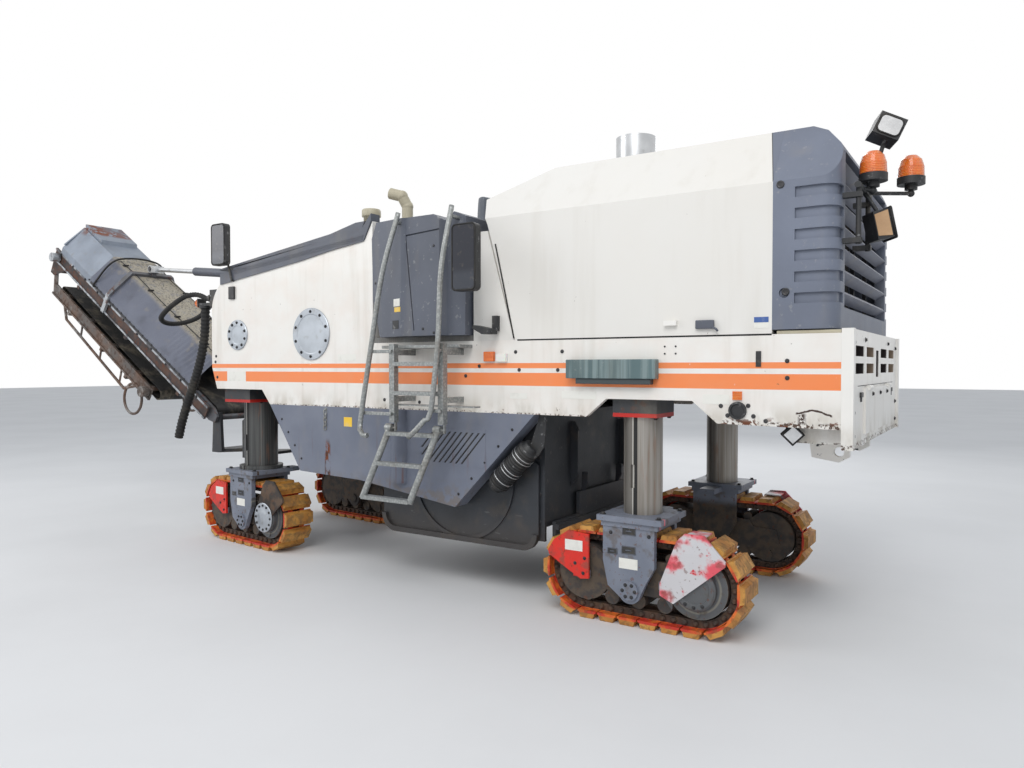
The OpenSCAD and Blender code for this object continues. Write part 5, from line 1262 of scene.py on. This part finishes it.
def make_lamps():
    """Lenses and rims of the mast's lamps, and the square work lamps under the rear sill."""
    lens, rims, tan = bmesh.new(), bmesh.new(), bmesh.new()
    turn = turn_by(20, -25)
    for face in (1, -1):
        # Rounded pane on the broad face of the upper lamp
        ring = [at(-0.15, 0.55, 3.02) + turn @ Vector((dx, face * 0.0955, dz)) for dx, dz in rounded(
            0.036, 0.022, 0.027)]
        plate(lens, ring, 0.004, turn @ Vector((0, face, 0)))
        tube(rims, ring + ring[:1], 0.006, 8, caps=False)
    # Lower lamp: tan sides, a black frame round its glass and the bowl behind it
    turn = turn_by(30, 12)
    mid = at(-0.14, 0.716, 2.445)
    for face in (1, -1):
        plate(tan, [mid + turn @ Vector((x, face * 0.0752, z)) for x, z in (
            (-0.03, -0.07), (0.046, -0.058), (0.046, 0.062), (-0.03, 0.074))],
            0.003, turn @ Vector((0, face, 0)))
    frame_of_tubes(rims, [mid + turn @ Vector((-0.046, y, z)) for y, z in rectangle(
        -0.078, 0.078, -0.083, 0.083)], 0.0085, 8)
    piece("mast_lenses", lens, "silver", "hood")
    piece("mast_rims", rims, "hose", "hood")
    turned(tan, mid + turn @ Vector((-0.05, 0, 0)), turn @ Vector((-1, 0, 0)),
           [(0.062, 0), (0.062, 0.004), (0.03, 0.005), (0.012, 0.008)], 32)
    piece("work_lamp_reflector", tan, "tan_glass", "hood")
    lens, rims = bmesh.new(), bmesh.new()
    for side in SIDES:
        axis = Vector((-0.35, side * 0.9, -0.15)).normalized()
        across = axis.cross(Vector((0, 0, 1))).normalized()
        up = across.cross(axis)
        mid = at(0.262, side * 0.955, 1.268)
        for made, r, deep, back in ((rims, 0.066, 0.03, -0.03), (lens, 0.05, 0.004, 0.0)):
            plate(made, [mid + axis * back + r * (c * across + s * up) for c, s in circle(4)], deep, axis)
        tube(rims, [at(0.31, side * 0.93, 1.325), mid - axis * 0.02], 0.01, 8)
    piece("rear_work_lamps", lens, "silver")
    piece("rear_work_lamp_cases", rims, "hose")


def make_controls():
    """Levers and keys on the desks."""
    levers, keys = bmesh.new(), bmesh.new()
    for side in SIDES:
        for row in range(2):
            for k in range(3):
                key = at(3.16 + 0.024 * k, side * (0.18 + 0.03 * row), 2.645 + 0.014 * k)
                turned(keys, key, (-0.5, 0, 0.85), [(0.009, 0), (0.009, 0.008), (0.006, 0.01)], 10)
        turned(levers, at(3.13, side * 0.6, 2.6), (0, 0, 1), [
            (0.01, 0), (0.007, 0.06), (0.006, 0.1), (0.02, 0.11), (0.022, 0.13), (0.012, 0.145)], 14)
    piece("desk_levers", levers, "hose")
    piece("desk_keys", keys, "red_paint")


def cushion(name, low, high):
    """A crowned pad between two corners."""
    bm = bmesh.new()
    block(bm, low, high, 0.02)
    bmesh.ops.subdivide_edges(bm, edges=bm.edges, cuts=3, use_grid_fill=True)
    mid, half, crown = (low + high) / 2, (high - low) / 2, 0.022
    for v in bm.verts:
        q = Vector(((v.co - mid)[i] / half[i] for i in range(3)))
        for i in range(3):
            others = q[i - 1] ** 2 + q[i - 2] ** 2
            v.co[i] -= crown * q[i] * abs(q[i]) * others * 0.5
    pad = piece(name, bm, "vinyl")
    soft = pad.modifiers.new("round", "SUBSURF")
    soft.levels = soft.render_levels = 1
    return pad


def make_seats():
    pads = []
    for side, name in zip(SIDES, ("right", "left")):
        y = side * SEAT_Y
        y0, y1 = y - 0.228, y + 0.228
        pads += [cushion("seat_cushion_" + name, at(2.65, y0, 2.385), at(3.045, y1, 2.47)),
                 cushion("seat_back_" + name, at(2.612, y0, 2.474), at(2.715, y1, 2.975))]
        bm = bmesh.new()
        for arm in (y - 0.262, y + 0.262):
            block(bm, at(2.655, arm - 0.028, 2.565), at(2.955, arm + 0.028, 2.612), 0.012)
            block(bm, at(2.65, arm - 0.012, 2.4), at(2.69, arm + 0.012, 2.58), 0.005)
        block(bm, at(2.66, y0 + 0.02, 2.362), at(3.02, y1 - 0.02, 2.384), 0.006)
        turned(bm, at(2.8, y, 1.8805), (0, 0, 1), [(0.15, 0), (0.15, 0.018), (0.056, 0.024), (0.055, 0.4),
                                                    (0.045, 0.401), (0.045, 0.485)], 24)
        piece("seat_frame_" + name, bm, "black_plastic")
    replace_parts(pads[0], "seats")


def make_under_bolts():
    """Bolts of the housing and of the column flanges under the body."""
    bm = bmesh.new()
    for side in SIDES:
        n = (0, side, 0)
        y = side * 0.8155
        for x in (2.02, 2.06, 3.28, 3.34):
            for z in (0.55, 0.75, 1.02):
                bolt(bm, at(x, y, z), n, 0.012)
        for dx, dz in circle(8, 0.135):
            bolt(bm, at(DRUM[0] + dx, y, DRUM[1] + dz), n, 0.014)
    for x, y, *_ in UNITS.values():
        for dx, dy in ((-0.125, -0.13), (0.125, -0.13), (-0.125, 0.1), (0.125, 0.1)):
            bolt(bm, at(x + dx, y + math.copysign(dy, dy * y), 1.3337), (0, 0, -1), 0.014)
    piece("under_bolts", bm, "bolt")


def make_stage():
    """Pale floor, soft lamps and a background that shows white."""
    bm = bmesh.new()
    bmesh.ops.create_grid(bm, x_segments=1, y_segments=1, size=60.0)
    mesh = to_mesh("floor", bm)
    floor = placed("floor", mesh)
    floor.location.z = -0.002
    f = Finish("floor_finish", "e2e2e2", 0.7)
    f.mottle(0.5, "d8d8d8", 0.5)
    f.done()
    mesh.materials.append(f.mat)
    world = bpy.data.worlds.new("studio")
    bpy.context.scene.world = world
    world.use_nodes = True
    nodes, links = world.node_tree.nodes, world.node_tree.links
    nodes.clear()
    out, mix, light, seen, rays, first, second = (nodes.new("ShaderNode" + kind) for kind in (
        "OutputWorld", "MixShader", "Background", "Background", "LightPath", "Math", "Math"))
    for shader, colour, strength in ((light, linear("e8eef6"), 0.62), (seen, (1, 1, 1, 1), 1.0)):
        shader.inputs[0].default_value = colour
        shader.inputs[1].default_value = strength
    first.operation = second.operation = "MAXIMUM"
    for source, target in ((rays.outputs["Is Camera Ray"], first.inputs[0]),
                           (rays.outputs["Is Glossy Ray"], first.inputs[1]),
                           (first.outputs[0], second.inputs[0]),
                           (rays.outputs["Is Transmission Ray"], second.inputs[1]),
                           (second.outputs[0], mix.inputs[0]), (light.outputs[0], mix.inputs[1]),
                           (seen.outputs[0], mix.inputs[2]), (mix.outputs[0], out.inputs[0])):
        links.new(source, target)
    for name, place, size, power in (("key", (-5.0, 8.0, 9.0), 6.0, 585.0),
                                     ("fill", (7.0, 7.0, 6.0), 5.0, 260.0),
                                     ("back", (0.0, -9.0, 7.0), 6.0, 260.0)):
        data = bpy.data.lights.new(name, "AREA")
        data.energy, data.size = power, size
        lamp = placed(name, data)
        lamp.location = place
        lamp.rotation_euler = (Vector((0, 0, 1.2)) - Vector(place)).to_track_quat("-Z", "Y").to_euler()
    bpy.context.scene.view_settings.view_transform = "Standard"


make_camera()
make_hoses()
dress_nodes()
make_cover()
make_boom_trim()
make_belt_cleats()
make_side_bolts()
make_skirt_details()
make_rear_details()
make_hood_details()
make_sill_and_trim()
make_louvres()
make_box_fronts()
make_handrails()
make_labels()
make_mirror_faces()
for unit_name in UNITS:
    make_unit_details(unit_name)
make_lamps()
make_controls()
make_seats()
make_under_bolts()
make_stage()
